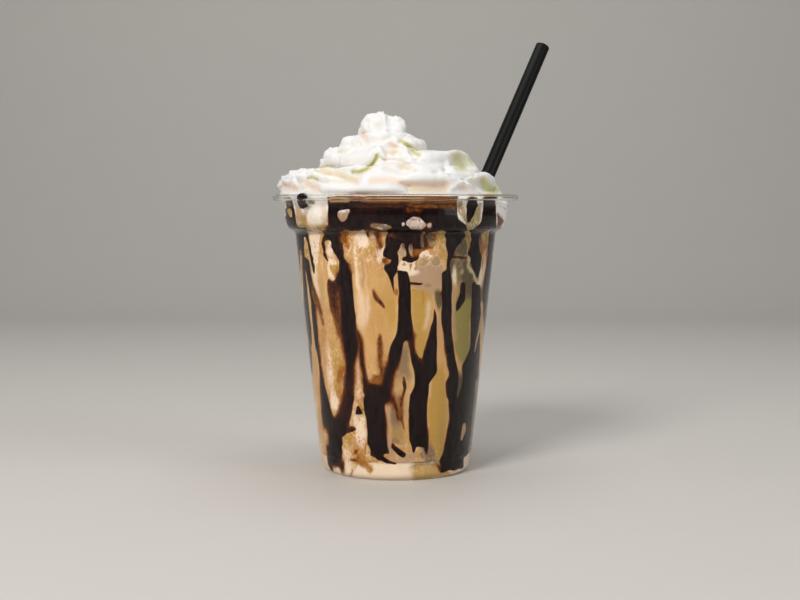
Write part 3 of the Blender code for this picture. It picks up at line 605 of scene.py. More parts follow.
# Cream ropes as in the part: x, y, height and radius of the rope's middle.
CREAM_ROPES = {
    "lower": ((-27, 29, 113, 8), (-37, 17, 111.8, 8.4), (-38.4, 2, 111.2, 8.6),
              (-35.6, -14, 111.2, 9), (-26, -27.4, 111.4, 9.2), (-10, -35, 111.6, 9.3),
              (6, -36, 112, 9.7), (20, -29, 111.4, 9.8), (30, -17, 110.2, 9.9),
              (32.6, -2, 109.4, 10), (29.5, 14, 110.5, 9.8), (20, 26, 112, 9.6),
              (5, 33, 113, 9.6), (-11, 32, 114, 9.4), (-23, 24, 115.5, 8.8)),
    "middle": ((-24, 13, 117, 8), (-21.5, 3, 120.6, 8.4), (-18, -9, 120.8, 8.8),
               (-9, -18, 120, 9.1), (4, -20, 119, 9.1), (16, -15, 118.6, 9.4),
               (23.5, -2, 118.7, 9.5), (19, 13, 119, 9), (6, 20, 120.5, 8.8), (-8, 17, 122.5, 8.4)),
    "upper": ((-14, 10, 124, 7), (-14.5, 0, 126.4, 7.2), (-9, -9, 127, 7.6), (1, -9, 126.6, 7.8),
              (5.8, 0, 126.4, 7.8), (0, 8, 128, 7.4), (-8, 6, 131, 7)),
}
# Lumps of cream: x, y, height, half width, half height.
CREAM_LUMPS = {
    "crest_left": (-8, -1, 135.9, 5.6, 6),
    "crest_mid": (-4.4, -1.8, 136.2, 4.6, 5.4),
    "crest_right": (-0.8, -1.5, 134.9, 4.8, 5.3),
    "crest_low": (-4.6, -1.2, 132.6, 8.6, 4.6),
    "crest_bits_1": (-12, -1, 137.8, 2.2, 2.4),
    "crest_bits_2": (-10.8, -2, 139.8, 2, 2),
    "crest_bits_3": (-8.6, -1, 140.9, 2.6, 1.9),
    "crest_bits_4": (-5.6, -2, 141.3, 2.6, 1.9),
    "crest_bits_5": (-2.2, -2, 139.4, 2.4, 1.9),
    "crest_bits_6": (0.2, -2, 139.4, 2.3, 1.8),
    "crest_bits_7": (2.2, -2, 137.2, 2, 2.1),
    "crest_bits_8": (2.4, -1, 134.6, 2, 2.4),
    "crest_bits_9": (-12.8, 0, 134.4, 2.2, 2.4),
    "nose_low": (-22.9, -3, 124.4, 5.4, 4.4),
    "nose_high": (-17.6, -2, 130.1, 4.4, 3.6),
    "heart_low": (-2, 1, 109, 37, 12),
    "heart_high": (-3, 0, 121, 16, 14),
}
# Strokes on the front of the cream, drawn over the photograph: depth in mm (a hollow is below zero), half
# width in pixels to the left and right of the stroke's way, which painted shade colours it (golden tan,
# yellow green, pink, or none) and how much, then its stations of a row and a column.
CREAM_STROKES = {
    "crescent": (-1.9, 2, 2.6, "moss", 0.88, 171,353, 171.6,359.5, 169.2,365.4, 165,371, 159.6,375,
                 155,377),
    "crescent_lip": (0.9, 4, 4, "", 0, 166,352, 166,360, 162.5,366, 157,370, 151,374, 149.5,380),
    "lip_end": (1.2, 3, 3, "", 0, 150,378, 156,383),
    "lip_end_under": (-1, 1.8, 1.8, "moss", 0.6, 157,380.5, 160,385),
    "moss_hollow": (-2.4, 3.2, 2.4, "moss", 0.75, 141,401, 144,406.5, 149,411, 153.5,415, 155,418.5),
    "moss_rib": (1, 2.5, 2.5, "", 0, 143,402, 151,407),
    "grey_crease": (-1.6, 1.6, 1.6, "", 0, 151.5,402, 155,404.5, 159,407),
    "right_patch": (-2.2, 8, 8, "moss", 0.62, 156,457, 163,459, 166,462),
    "right_patch_side": (-1.4, 7, 7, "moss", 0.5, 158,466, 163,471),
    "right_dark": (-1.4, 3.5, 3.5, "", 0, 160,447, 167,447.5),
    "right_lip": (1.4, 2, 2, "", 0, 167,450, 169.5,458, 170.5,468, 171,479),
    "right_under": (-1.2, 1.8, 1.8, "", 0, 173.5,452, 174,462, 173,472, 172.5,480),
    "dimple": (-1, 2, 2, "moss", 0.4, 171.5,434.5, 171.5,438),
    "valley": (-1.7, 6, 5.5, "warm", 0.7, 188.6,412, 189,430, 189,444),
    "valley_rose": (-0.8, 5, 5, "rose", 0.8, 181,372, 180,390, 184,410, 185,430, 184,446),
    "front_lip": (1.2, 5, 5, "", 0, 191,322, 191,340, 191,360, 191,380, 192,396, 193,402),
    "front_end": (-1.4, 2.5, 2.5, "warm", 0.3, 184,402, 188,408, 192,409),
    "left_hollow": (-1.4, 5, 6, "rose", 0.8, 184,305, 186.5,312, 189,317),
    "left_low": (-1.6, 4, 4, "rose", 0.9, 186,283, 189,296),
    "mid_valley": (-2.4, 4.5, 4.5, "warm", 0.7, 170,322, 172.5,330, 175,340, 178,348, 180,356),
    "mid_valley_low": (-1.2, 2.2, 2.2, "rose", 0.6, 181,322, 181,334, 182,346),
    "moss_nick": (-1.4, 1.6, 1.6, "moss", 0.8, 178,308, 177.5,313, 180,318.5),
    "moss_nick_high": (-1, 1.3, 1.3, "moss", 0.6, 170.8,314, 171.2,319.5),
    "nose_under": (-1.6, 2.2, 2.2, "warm", 0.4, 165,326, 168,334, 170,344, 169.5,352),
    "nose_high_under": (-1.8, 2, 2, "warm", 0.5, 152,338, 151,346, 146,353, 142,359),
    "nose_crease": (-1, 2, 2, "", 0, 153,337, 152,330),
    "rose_hollow": (-1.4, 4, 4, "rose", 1, 144,391, 147,395),
    "gold_hollow": (-2, 2.8, 2.8, "warm", 0.7, 152,387, 153,392, 152,397),
    "lens": (0.9, 2.6, 2.6, "rose", 0.6, 164,385, 163.5,392, 164,399),
    "lens_crease": (-1.5, 1.6, 1.6, "warm", 0.4, 168.5,384, 170.5,393, 172.5,401, 172.5,408, 170,416),
    "lens_gold": (-1.2, 4, 4, "warm", 0.6, 167,402, 168.5,408),
    "lens_top": (-1.4, 1.8, 1.8, "rose", 0.5, 159,386, 158.5,394, 161,402, 165,409, 169,415),
    "crest_face": (-1.5, 5, 5, "warm", 0.3, 122,373, 125,378),
    "crest_ridge": (0.5, 1.6, 1.6, "", 0, 116,384.5, 122,384.5, 130,385),
    "crest_dent": (-1.5, 4, 4, "moss", 0.14, 119.5,390, 124,393),
    "crest_under": (-1.6, 1.8, 1.8, "", 0, 131,390, 133.5,397, 134.5,403, 134,407),
    "crest_edge": (-1.2, 1.8, 1.8, "", 0, 120,367, 126,366, 131,368),
    "slope_rose": (-1.2, 4, 4, "rose", 0.9, 134,362, 140,366),
    "right_low": (-1.8, 4, 4, "warm", 0.3, 178,469, 182,474, 186,478),
    "right_spot": (-1.6, 1.8, 1.8, "", 0, 178.5,464.5, 181,465),
    "lobe_edge": (1.4, 1.8, 1.8, "", 0, 181.5,464, 185,470, 190,476, 193,479),
    "lobe_edge_left": (1, 2, 2, "", 0, 182,462, 185,456, 188,452),
    "lobe_rose": (-0.6, 4, 4, "rose", 0.7, 188,462, 191,466),
    "dark_lobe": (-2, 6.5, 6.5, "moss", 0.7, 181,484, 186,486, 190,490, 191,495),
    "right_flat": (-0.8, 3, 3, "", 0, 160,418, 163,430, 161,442),
    "neck": (-1.2, 2.5, 2.5, "rose", 0.5, 138,370, 139,380, 136,390),
}
# Creases in the cream, less of them at the front, where the strokes stand in for them, and their painted
# shade.
CREASE_DEPTH, CREASE_WIDTH, CREASE_SPARED, CREASE_SHADE = 1.3, 0.11, 0.75, 0.4
# Crumbs at the side and on the crest, against those at the far left, and the level that they start from.
SIDE_CRUMBS, CREST_CRUMBS, CRUMB_EDGE = 0.7, 0.5, 0.75
# Painted shade on the cream: how much of the deeper cream colour it gets, and how much less where it faces
# up, so faces that turn down are shaded.
UNDER_SHADE_LEVEL, UNDER_SHADE_SLOPE = 0.35, 0.6
CREAM_COLLAR_TOP, COLLAR_SINK, COLLAR_STEP, COLLAR_COLUMNS = 108.4, 0.6, 1.0, 120
COLLAR_INSET, GRIP_TOP = 1.3, 110.0
ROPE_RIDGES, ROPE_RIDGE_DEPTH, ROPE_TWIST = 6, 0.13, 70.0
ROPE_STEP, ROPE_SIDES, ROPE_END_SHARE, ROPE_END_STEPS = 2.0, 36, 0.45, 3
LUMP_SEGMENTS, LUMP_RINGS = 40, 20
CREAM_VOXEL, CREAM_SOFTENING, CREAM_SOFTNESS = 0.56, 3, 0.5

# The straw's axis, as in the part.
STRAW_FOOT, STRAW_LEAN = (-12.1, -19.0), (0.446, 0.40)
STRAW_LENGTH, STRAW_RADIUS, STRAW_WALL, STRAW_GAP = 197.0, 3.0, 0.3, 0.3
STRAW_LIP_STEP = 30
PANEL_TOP = 3.1

# The turned skin's path is a circle of this radius, so the outline is measured from it.
TURN_PIVOT, MERGE_DISTANCE = 1.0, 0.004
# The pale studio shows less in the sheet than it would, as the photographed cup stood in the dark.
CLEAR_IOR, CLEAR_SHINE, CLEAR_ROUGHNESS, CLEAR_SHADOW = 1.36, 0.4, 0.012, 0.96
# What is pressed to the sheet shines little of its own: the sheet's face carries the gloss.
WET_GLOSS, STRAW_GLOSS = 0.12, 0.22
CREAM_IOR, CREAM_GLOW, CREAM_GLOW_DEPTH, CREAM_GLOW_COLOUR = 1.4, 0.6, 2.6, (1.0, 0.85, 0.65)
# Roughness, how much the grain adds to it, and the grain's depth.
SURFACES = {
    "milkshake": (0.34, 0.1, 0.05),
    "sauce": (0.2, 0.15, 0.04),
    "cream": (0.42, 0.12, 0.1),
    "straw": (0.36, 0.12, 0.01),
}
# Noise in the finishes: the size of its lumps, detail, upward draw, roughness and distortion.
GRAINS = {
    "haze": (9.0, 2.0, 1, 0.55, 0.0),
    "rag": (1.3, 5.0, 0.8, 0.72, 0.9),
    "fleck": (0.8, 4.0, 0.7, 0.7, 0.5),
    "blot": (2.1, 5.0, 0.75, 0.74, 1.1),
    "streak": (5.0, 4.0, 0.22, 0.6, 0.8),
    "thread": (1.5, 3.0, 0.1, 0.6, 0.4),
    "cloud": (3.2, 4.0, 0.5, 0.62, 0.5),
    "curd": (1.1, 3.0, 0.7, 0.6, 0.0),
    "smear": (2.4, 4.0, 0.35, 0.6, 0.5),
    "sauce_fleck": (0.9, 4.0, 0.6, 0.7, 0.6),
    "cream_fine": (0.7, 3.0, 1, 0.6, 0.0),
    "cream_wide": (9.0, 2.0, 1, 0.55, 0.0),
    "drawn_lines": (0.8, 3.0, 0.05, 0.55, 0.0),
    "floor_cloud": (40.0, 2.0, 1, 0.55, 0.0),
}
# Ramps in the finishes: none at the first level, all at the second, and how much all is.
RAMPS = {
    "haze": (0.5, 0.8, 0.03),
    "wash": (0.06, 0.94, 1),
    "blot_pale": (0.53, 0.64, 0.6),
    "blot_stain": (0.45, 0.36, 0.8),
    "fleck_pale": (0.52, 0.72, 1),
    "fleck_stain": (0.44, 0.26, 1),
    "stain_rag": (0.0, 0.5, 1.2),
    "stain": (0.15, 0.75, 1),
    "stain_thick": (0.6, 1.1, 0.9),
    "film": (0.15, 0.8, 0.9),
    "film_thick": (0.7, 1.2, 0.8),
    "streak": (0.3, 0.75, 1),
    "thread": (0.55, 0.8, 0.4),
    "cloud": (0.52, 0.74, 0.45),
    "body_amber": (-1.2, -0.4, 1),
    "body_red": (-0.25, 0.4, 1),
    "body_dark": (0.25, 1.1, 1),
    "cream_under_shade": (0.05, 1.1, 1),
    "cream_hollow_shade": (0.0, 1.0, 1),
    "drawn_lines": (0.3, 0.8, 1),
}
# The middle level of a grain, and how much grains move what they are added to.
MIDDLE = 0.5
# The order that washes are laid in; olive and shade are painted shade.
WASH_ORDER = ("gold", "olive", "foam", "shade", "dusk", "pale", "bubble")
WASH_STREAKS, WASH_SHARPNESS, FILM_LEVEL, FILM_RAGS = 0.3, 0.9, 0.9, 3.2
BODY_SMEAR, BODY_FLECKS, UNDER_SHADE_CLOUDS, HOLLOW_SHADE_GRAIN, FLOOR_CLOUDS = 0.9, 1.3, 0.3, 0.2, 0.3
# What lively drink adds, and what there is of it everywhere.
WASH_RAGS, PALE_FLECKS, STAIN_FLECKS = (1.6, 0.3), (0.5, 0.12), (0.7, 0.08)

# The stage, in metres: lights with the setting for their power, place, size and colour.
KEY_COLOUR, WHITE = (1.0, 0.97, 0.93), (1.0, 1.0, 1.0)
LIGHTS = {
    "key": ("key_power", (-0.45, -0.80, 0.75), (0.34, 0.34), KEY_COLOUR),
    "strip": ("back_power", (-0.72, -0.16, 0.20), (0.10, 0.60), WHITE),
    "fill": ("fill_power", (0.80, -0.45, 0.35), (0.4, 0.7), WHITE),
    "top": ("top_power", (0.0, 0.10, 0.95), (0.8, 0.8), WHITE),
}
LIGHT_AIM = (0.0, 0.0, 0.08)
# Where the floor bends up into the wall, as a share of its half size, and the bend's radius and steps.
BEND_START, BEND_RADIUS, BEND_STEP, WALL_TOP, FLOOR_WIDTH = 0.45, 0.35, 6, 1.6, 1.6
FLOOR_ROUGHNESS = 0.62
WORLD_COLOUR, WORLD_STRENGTH = (0.9, 0.93, 1.0, 1.0), 0.10
CLIP_START = 0.01

# Whole numbers that stir a cell's place into a repeatable one.
WORD, SEED_STEP, STIR = 2 ** 32, 2654435761, 2246822519
AXIS_PRIMES = (73856093, 19349663, 83492791)


def srgb(red, green, blue):
    """Linear values of a colour given as 0 to 255."""
    parts = []
    for level in (red, green, blue):
        share = level / 255
        parts.append(share / 12.92 if share <= 0.04045 else ((share + 0.055) / 1.055) ** 2.4)
    return tuple(parts)


def smooth_step(low, high, values):
    share = np.clip((values - low) / (high - low), 0.0, 1.0)
    return share * share * (3 - 2 * share)


def eased(stations, steps=4):
    """Points on a Catmull-Rom curve through the stations."""
    points = np.array(stations, float)
    points = np.vstack((2 * points[0] - points[1], points, 2 * points[-1] - points[-2]))
    made = []
    for a, b, c, d in zip(points, points[1:], points[2:], points[3:]):
        for step in range(steps):
            t = step / steps
            made.append(0.5 * (2 * b + (c - a) * t + (2 * a - 5 * b + 4 * c - d) * t ** 2
                               + (3 * b - a - 3 * c + d) * t ** 3))
    return np.array(made + [points[-2]])


def lattice_value(cells, seed):
    """A repeatable number from 0 to 1 for each whole-number cell."""
    mask = np.uint64(WORD - 1)
    mixed = np.full(cells.shape[:-1], seed * SEED_STEP % WORD, np.uint64)
    for axis, prime in enumerate(AXIS_PRIMES):
        mixed ^= (cells[..., axis].astype(np.int64) * prime).astype(np.uint64) & mask
        mixed = (mixed ^ (mixed >> np.uint64(15))) * np.uint64(STIR) & mask
        mixed ^= mixed >> np.uint64(13)
    return mixed.astype(float) / WORD


def noise(points, size, seed):
    """Smooth noise from -1 to 1 at points, with lumps about size millimetres across."""
    scaled = np.asarray(points, float) / size
    base = np.floor(scaled)
    share = scaled - base
    share = share * share * (3 - 2 * share)
    total = 0.0
    for corner in itertools.product((0, 1), repeat=3):
        weight = np.prod(np.where(np.array(corner) == 1, share, 1 - share), axis=-1)
        total = total + weight * lattice_value(base.astype(np.int64) + corner, seed)
    return 2 * total - 1


def layered(name, points):
    """The layers of a named noise, summed at points."""
    return sum(amount * noise(points * (1, 1, up), size, seed) for amount, up, size, seed in NOISES[name])


def fade(name, values):
    """The share, 0 to 1, of the way through a named fade."""
    return smooth_step(*FADES[name], values)


def rounded_line(stations):
    """The line through stations (radius, height, corner), each corner eased by a short curve."""
    places = [np.array(s[:2], float) for s in stations]
    line = [places[0]]
    for before, here, after, station in zip(places, places[1:], places[2:], stations[1:]):
        shortest = min(np.linalg.norm(here - before), np.linalg.norm(after - here))
        reach = min(station[2], CORNER_SHARE * shortest)
        start = here + reach * (before - here) / np.linalg.norm(before - here)
        end = here + reach * (after - here) / np.linalg.norm(after - here)
        shares = (0, 0.25, 0.5, 0.75, 1) if reach else (0,)
        line += [(1 - t) ** 2 * start + 2 * t * (1 - t) * here + t ** 2 * end for t in shares]
    return np.array(line + [places[-1]])


def offset_line(line, distance):
    """The line moved sideways to its left, with mitred corners."""
    along = np.diff(line, axis=0)
    along /= np.linalg.norm(along, axis=1)[:, None]
    normals = np.stack((-along[:, 1], along[:, 0]), axis=1)
    mitre = np.vstack((normals[:1], normals[:-1] + normals[1:], normals[-1:]))
    mitre /= np.linalg.norm(mitre, axis=1)[:, None]
    facing = np.vstack((normals[:1], normals))
    return line + mitre * (distance / np.sum(mitre * facing, axis=1))[:, None]


def sheet_line():
    """The middle of the cup's sheet, from the base's centre to the end of the rolled rim."""
    curl_r, curl_z, curl = RIM_CURL
    turns = np.radians(np.linspace(*RIM_CURL_SPAN, RIM_CURL_STEPS))
    arc = [(curl_r + curl * math.cos(t), curl_z + curl * math.sin(t), 0) for t in turns]
    return rounded_line(SHEET_LINE + tuple(arc[1:]))


@functools.cache
def wall():
    """Rows up the sheet's inner face: radius, height, the normal into the sheet, and the first wall row."""
    line = offset_line(sheet_line(), SHEET / 2)
    line[0, 0] = 0.0
    line = line[:np.argmax(line[:, 1] > BAND_LIMIT) + 1]
    length = np.concatenate(([0], np.cumsum(np.linalg.norm(np.diff(line, axis=0), axis=1))))
    foot = np.interp(FOOT_RADIUS, line[:, 0], length)
    places = np.concatenate((np.linspace(0, foot, BASE_ROWS, endpoint=False),
                             np.arange(foot, length[-1], WALL_STEP)))
    radius, height = (np.interp(places, length, line[:, axis]) for axis in (0, 1))
    along = np.stack((np.gradient(radius, places), np.gradient(height, places)), axis=1)
    along /= np.linalg.norm(along, axis=1)[:, None]
    return radius, height, np.stack((along[:, 1], -along[:, 0]), axis=1), BASE_ROWS


def inside_radius(height):
    radius, heights, _, first = wall()
    return np.interp(height, heights[first:], radius[first:])


def columns(count=WALL_COLUMNS):
    """The columns' angles, drawn together at the front, where the photograph shows the most."""
    even = np.linspace(-math.pi, math.pi, WALL_COLUMNS + 1)[:count]
    return even - FRONT_DRAW * np.sin(even)


def turn_places(radius, height, angle):
    """Points at a radius and height, an angle round from the front."""
    return np.stack((radius * np.sin(angle), -radius * np.cos(angle), height + 0 * angle), axis=-1)


def photo_to_wall(rows, across):
    """Angle and height where the photograph's pixels meet the inside of the wall."""
    u = (np.asarray(across, float) - PHOTO_WIDTH / 2) / FOCAL_PIXELS
    v = (PHOTO_HEIGHT / 2 - np.asarray(rows, float)) / FOCAL_PIXELS
    cos, sin = math.cos(CAMERA_TILT), math.sin(CAMERA_TILT)
    ray = np.stack((u, cos + v * sin, -sin + v * cos), axis=-1)
    reach = np.arange(*SIGHT)
    path = np.array(CAMERA_PLACE) + ray[:, None, :] * reach[None, :, None]
    clear = np.hypot(path[..., 0], path[..., 1]) - inside_radius(path[..., 2])
    first = np.where((clear < 0).any(axis=1), np.argmax(clear < 0, axis=1), np.argmin(clear, axis=1))
    met = path[np.arange(len(path)), first]
    return np.arctan2(met[:, 0], -met[:, 1]), met[:, 2]


def wall_to_photo(place):
    """The photograph's row and column that a point in millimetres about the cup's axis falls on."""
    cos, sin = math.cos(CAMERA_TILT), math.sin(CAMERA_TILT)
    away = place - np.array(CAMERA_PLACE)
    deep = away @ (0, cos, -sin)
    return (PHOTO_HEIGHT / 2 - FOCAL_PIXELS * (away @ (0, sin, cos)) / deep,
            PHOTO_WIDTH / 2 + FOCAL_PIXELS * away[:, 0] / deep)


def stroke_share(stations, left, right, rows, across):
    """How much of a stroke each place has, 0 to 1, with its own half width on either side of its way."""
    stations = np.reshape(stations, (-1, 2))
    nearest = np.full(len(rows), np.inf)
    side = np.zeros(len(rows))
    for (row_a, across_a), (row_b, across_b) in zip(stations, stations[1:]):
        run, fall = across_b - across_a, row_b - row_a
        dx, dy = across - across_a, rows - row_a
        share = np.clip((dx * run + dy * fall) / (run * run + fall * fall), 0, 1)
        away = np.hypot(dx - share * run, dy - share * fall)
        side = np.where(away < nearest, run * dy - fall * dx, side)
        nearest = np.minimum(nearest, away)
    return np.exp(-(nearest / np.where(side < 0, left, right)) ** 2)


def ribbon_margins(stations, angle, height, radius):
    """How far each place is inside the sides, and inside the ends, of a ribbon drawn on the photograph."""
    rows, left, right = eased(np.reshape(stations, (-1, 3))).T
    left_angle, left_height = photo_to_wall(rows, left)
    right_angle, right_height = photo_to_wall(rows, right)
    left_order, right_order = np.argsort(left_height), np.argsort(right_height)
    low = np.interp(height, left_height[left_order], left_angle[left_order])
    high = np.interp(height, right_height[right_order], right_angle[right_order])
    sides = np.minimum(angle - low, high - angle) * radius
    top = max(left_height[0], right_height[0])
    foot = min(left_height[-1], right_height[-1])
    return sides, np.minimum(top - height, height - foot)


def ribbon_depth(stations, angle, height, radius):
    """How far inside a ribbon each place is; below zero outside it."""
    return np.minimum(*ribbon_margins(stations, angle, height, radius))


def ribbon_wash(stations, soft, angle, height, radius):
    """A patch of colour, 0 to 1, that fades over its sides and, more slowly, over its ends.

    Its softness is in the photograph's pixels.
    """
    sides, ends = ribbon_margins(stations, angle, height, radius)
    soft = WASH_SOFTNESS * soft / PIXELS_PER_MM
    tall = (stations[-3] - stations[0]) / PIXELS_PER_MM
    over = min(WASH_END_FADE * soft, WASH_END_SHARE * tall)
    return smooth_step(-soft, soft, sides) * smooth_step(-over, over, ends)


def run_depth(stations, angle, height, radius):
    """The same for a run given by stations (angle in degrees, height, half width)."""
    turns, heights, halves = eased(stations).T[:, ::-1]
    middle = np.radians(np.interp(height, heights, turns))
    half = np.interp(height, heights, halves)
    away = np.abs((angle - middle + math.pi) % TURN - math.pi) * radius
    return np.minimum(half - away, np.minimum(heights[-1] - height, height - heights[0]))


def blend_most(depths, reach):
    """The greatest of the depths, with the joins between them rounded."""
    total = sum(np.exp(np.clip(depth / reach, -EXPONENT_LIMIT, EXPONENT_LIMIT)) for depth in depths)
    return reach * np.log(total)


def back_place(step, count):
    """An angle in degrees, so many steps of a count along the back's arc."""
    return BACK_ARC[0] + (BACK_ARC[1] - BACK_ARC[0]) * step / count


def back_runs():
    """Runs round the back: the part's own rule, with an even spacing and seeded drift and width."""
    dice = random.Random(BACK_SEED)
    runs = []
    for i in range(BACK_RUNS):
        angle = back_place(i + 0.5, BACK_RUNS)
        foot = dice.choice(BACK_FEET)
        drift = 0.0
        stations = []
        for height in (*BACK_HEIGHTS, foot):
            drift += dice.uniform(-BACK_DRIFT, BACK_DRIFT)
            stations.append((angle + drift, height, dice.uniform(*BACK_HALVES)))
        first, last = stations[0], stations[-1]
        drop = (last[0], last[1] - BACK_DROP, BACK_DROP_HALF)
        runs.append(((first[0], BACK_TOP, first[2]), *stations, drop))
    dice = random.Random(BACK_THREAD_SEED)
    for i in range(BACK_THREADS):
        angle = back_place(i + dice.uniform(*THREAD_PLACES), BACK_THREADS)
        top, length = dice.choice(THREAD_TOPS), dice.uniform(*THREAD_LENGTHS)
        drift = dice.uniform(-BACK_DRIFT, BACK_DRIFT)
        half = dice.uniform(*THREAD_HALVES)
        start = (angle, top, half * (1 if top > THREAD_BAND_FOOT else THREAD_THIN_TOP))
        middle = [(angle + drift * way, top - length * way, half * wide) for way, wide in THREAD_FORM]
        runs.append((start, *middle, (angle + drift, top - length, THREAD_TIP_HALF)))
    return runs


def lively_share(angle, height):
    """Where foam and sauce are stirred into rags: under the shoulder, and less so near the base."""
    high = fade("lively_foot", height) * fade("lively_top", height)
    low = fade("lively_base", height) * fade("lively_bead", height)
    low = low * np.maximum(fade("lively_left", angle), fade("lively_right", angle))
    return np.maximum(high, LOW_RAGS * low)


def sauce_depth(places, spot, height, back, churn):
    """How far inside the sauce's edge each place is: the drawn ribbons, then the back's own rule."""
    dark, pale = (blend_most([ribbon_depth(r, *spot) for r in ribbons.values()], EDGE_BLEND)
                  for ribbons in (DARK_RIBBONS, PALE_RIBBONS))
    front = np.minimum(dark, -pale)
    runs = blend_most([run_depth(r, *spot) for r in back_runs()], EDGE_BLEND)
    band = np.minimum(spot[1] - BAND_FOOT, SAUCE_TOP - spot[1])
    holes = layered("band_holes", places) - BAND_HOLE_EDGE
    runs = blend_most([runs, np.minimum(band, -holes)], EDGE_BLEND)
    depth = front * (1 - back) + runs * back
    specks = np.minimum(layered("specks", places) - SPECK_EDGE, SPECK_MOST)
    depth = blend_most([depth, specks - SPECK_RETREAT * (1 - churn)], EDGE_BLEND)
    depth = np.minimum(depth, SAUCE_TOP - height)
    for _ in range(EDGE_SOFTENING):
        depth = (np.roll(depth, 1, axis=1) + 2 * depth + np.roll(depth, -1, axis=1)) / 4
        padded = np.vstack((depth[:1], depth, depth[-1:]))
        depth = (padded[:-2] + 2 * depth + padded[2:]) / 4
    return depth


def sauce_thinness(places, spot, height, back):
    """How much body the sauce loses where light comes through it."""
    thin = BACK_THIN * back * fade("thin_back", layered("thin_back", places))
    streaks = fade("streaks", layered("streaks", places)) * fade("streaks_foot", height)
    thin = np.maximum(thin, STREAK_THIN * streaks)
    for amount, soft, *stations in THIN_RIBBONS.values():
        thin = np.maximum(thin, amount * ribbon_wash(stations, soft, *spot))
    return thin


def sauce_fringe(places, spot, height):
    """How wide the sauce's thin edge is, and how crisp, 0 to 1."""
    smeared = fade("smeared", layered("smear", places) + LOW_SMEAR * fade("smeared_low", height))
    fringe = FRINGE[0] + (FRINGE[1] - FRINGE[0]) * smeared
    crisp = fade("crisp_right", spot[0])
    for stations in CRISP_RIBBONS:
        crisp = np.maximum(crisp, ribbon_wash(stations, CRISP_SOFTNESS, *spot))
    return fringe + (FRINGE[0] - fringe) * CRISP_SHARE * crisp, crisp


def wall_tints(places, spot, height, back, churn, lively):
    """The washes of colour on each row and column of the wall, 0 to 1, by name."""
    angle, level, radius = spot
    angle = angle + layered("wash_side", places) / radius
    level = level + layered("wash_rise", places)
    tints = {name: np.zeros_like(level) for name in WASH_ORDER + ("stain",)} | {"lively": lively}
    for name, washes in WASHES.items():
        for amount, soft, *stations in washes:
            patch = amount * ribbon_wash(stations, soft, angle, level, radius)
            tints[name] = 1 - (1 - tints[name]) * (1 - patch)
    for row, across, reach in FOAM_BUBBLES:
        (turn,), (rise,) = photo_to_wall([row], [across])
        away = np.hypot((angle - turn) * radius, height - rise) / (reach / PIXELS_PER_MM)
        # Painted highlight: a bright ring on each bubble's rim, laid in as milk colour.
        shine = BUBBLE_SHINE * np.exp(-((away - 1.0) / BUBBLE_RIM) ** 2)
        tints["pale"] = np.maximum(tints["pale"] * fade("bubble_film", away), shine)
        tints["bubble"] = np.maximum(tints["bubble"], fade("bubble", away))
    for name in BACK_TINTS:
        patch = back * fade("back_tint", layered(f"back_{name}", places))
        tints[name] = np.maximum(tints[name], patch)
    for name, share in CALMED_BY.items():
        tints["lively"] = tints["lively"] * (1 - share * tints[name])
    foot = BEAD_MILK * fade("bead_milk", height) * (1 - BEAD_GOLD * tints["gold"])
    tints["pale"] = np.maximum(tints["pale"], foot)
    for name in ("pale", "stain"):
        patch = churn * fade(f"churn_{name}", layered(f"churn_{name}", places))
        tints[name] = np.maximum(tints[name], patch)
    return tints


@functools.cache
def sauce_pattern():
    """The sauce on each row and column of the wall: depth inside its edge, body, and the wall's washes."""
    radius, height, _, first = wall()
    angle = columns()[None, :]
    radius, height = radius[first:, None], height[first:, None]
    places = turn_places(radius, height, angle)
    lively = lively_share(angle, height)
    side = layered("edge", places) + lively * layered("edge_lively", places)
    rise = layered("edge_rise", places) + lively * layered("edge_rise_lively", places)
    spot = angle + side / radius, height + rise, radius
    back = smooth_step(FRONT_LIMIT - FRONT_BLEND, FRONT_LIMIT + FRONT_BLEND, np.abs(spot[0]))
    churn = back * fade("churn_foot", height) * fade("churn_top", height)
    depth = sauce_depth(places, spot, height, back, churn)
    fringe, crisp = sauce_fringe(places, spot, height)
    thin = sauce_thinness(places, spot, height, back)
    body = np.minimum(depth / fringe, FULL_BODY) * (1 - thin / FULL_BODY)
    tints = wall_tints(places, spot, height, back, churn, lively)
    lace = np.exp(-(layered("lace", places) / LACE_WIDTH) ** 2)
    lace = lace * fade("lace_patches", layered("lace_patches", places)) * fade("lace_edge", depth)
    tints["stain"] = np.maximum(tints["stain"], LACE_STAIN * lace * tints["lively"])
    film = np.exp(np.minimum(depth, 0.0) / (FILM_REACH * fringe * (1 + FILM_RAGGED * lively)))
    film = film * (1 - FILM_CRISP * crisp) * (1 - FILM_DUSK * tints["dusk"])
    tints["film"] = film * smooth_step(*FRINGE, fringe)
    return depth, body, tints


def wall_sample(values, angle, height):
    """The value of a wall array at any angles and heights, between its rows and columns."""
    _, heights, _, first = wall()
    heights = heights[first:]
    row = np.interp(height, heights, np.arange(len(heights)))
    column = np.interp(angle, columns(WALL_COLUMNS + 1), np.arange(WALL_COLUMNS + 1))
    low_row = np.clip(np.floor(row).astype(int), 0, len(heights) - 2)
    low_column = np.floor(column).astype(int)
    up, across = row - low_row, column - low_column
    total = 0.0
    for i, j in itertools.product((0, 1), repeat=2):
        weight = (up if i else 1 - up) * (across if j else 1 - across)
        total = total + weight * values[low_row + i, (low_column + j) % WALL_COLUMNS]
    return total


def drink_offset(depth, height):
    """How far the drink's or cream's face stands into the sheet; it steps back behind the sauce."""
    deep = np.where(height > SHOULDER_TOP, RECESS_BAND, RECESS_RUN)
    return DRINK_REACH - deep * fade("recess", depth) - RECESS_EDGE * fade("recess_edge", depth)


def to_row(points):
    """Metres in the row's frame, from millimetres about the cup's axis."""
    return (np.asarray(points, float) + CUP_AXIS) * MM


def add_piece(name, points, faces, finish, attributes):
    """A smooth mesh object in its final place, riding on the part's one body."""
    mesh = bpy.data.meshes.new(name)
    mesh.from_pydata(to_row(points).tolist(), [], faces)
    mesh.update()
    return finish_piece(name, mesh, finish, attributes)


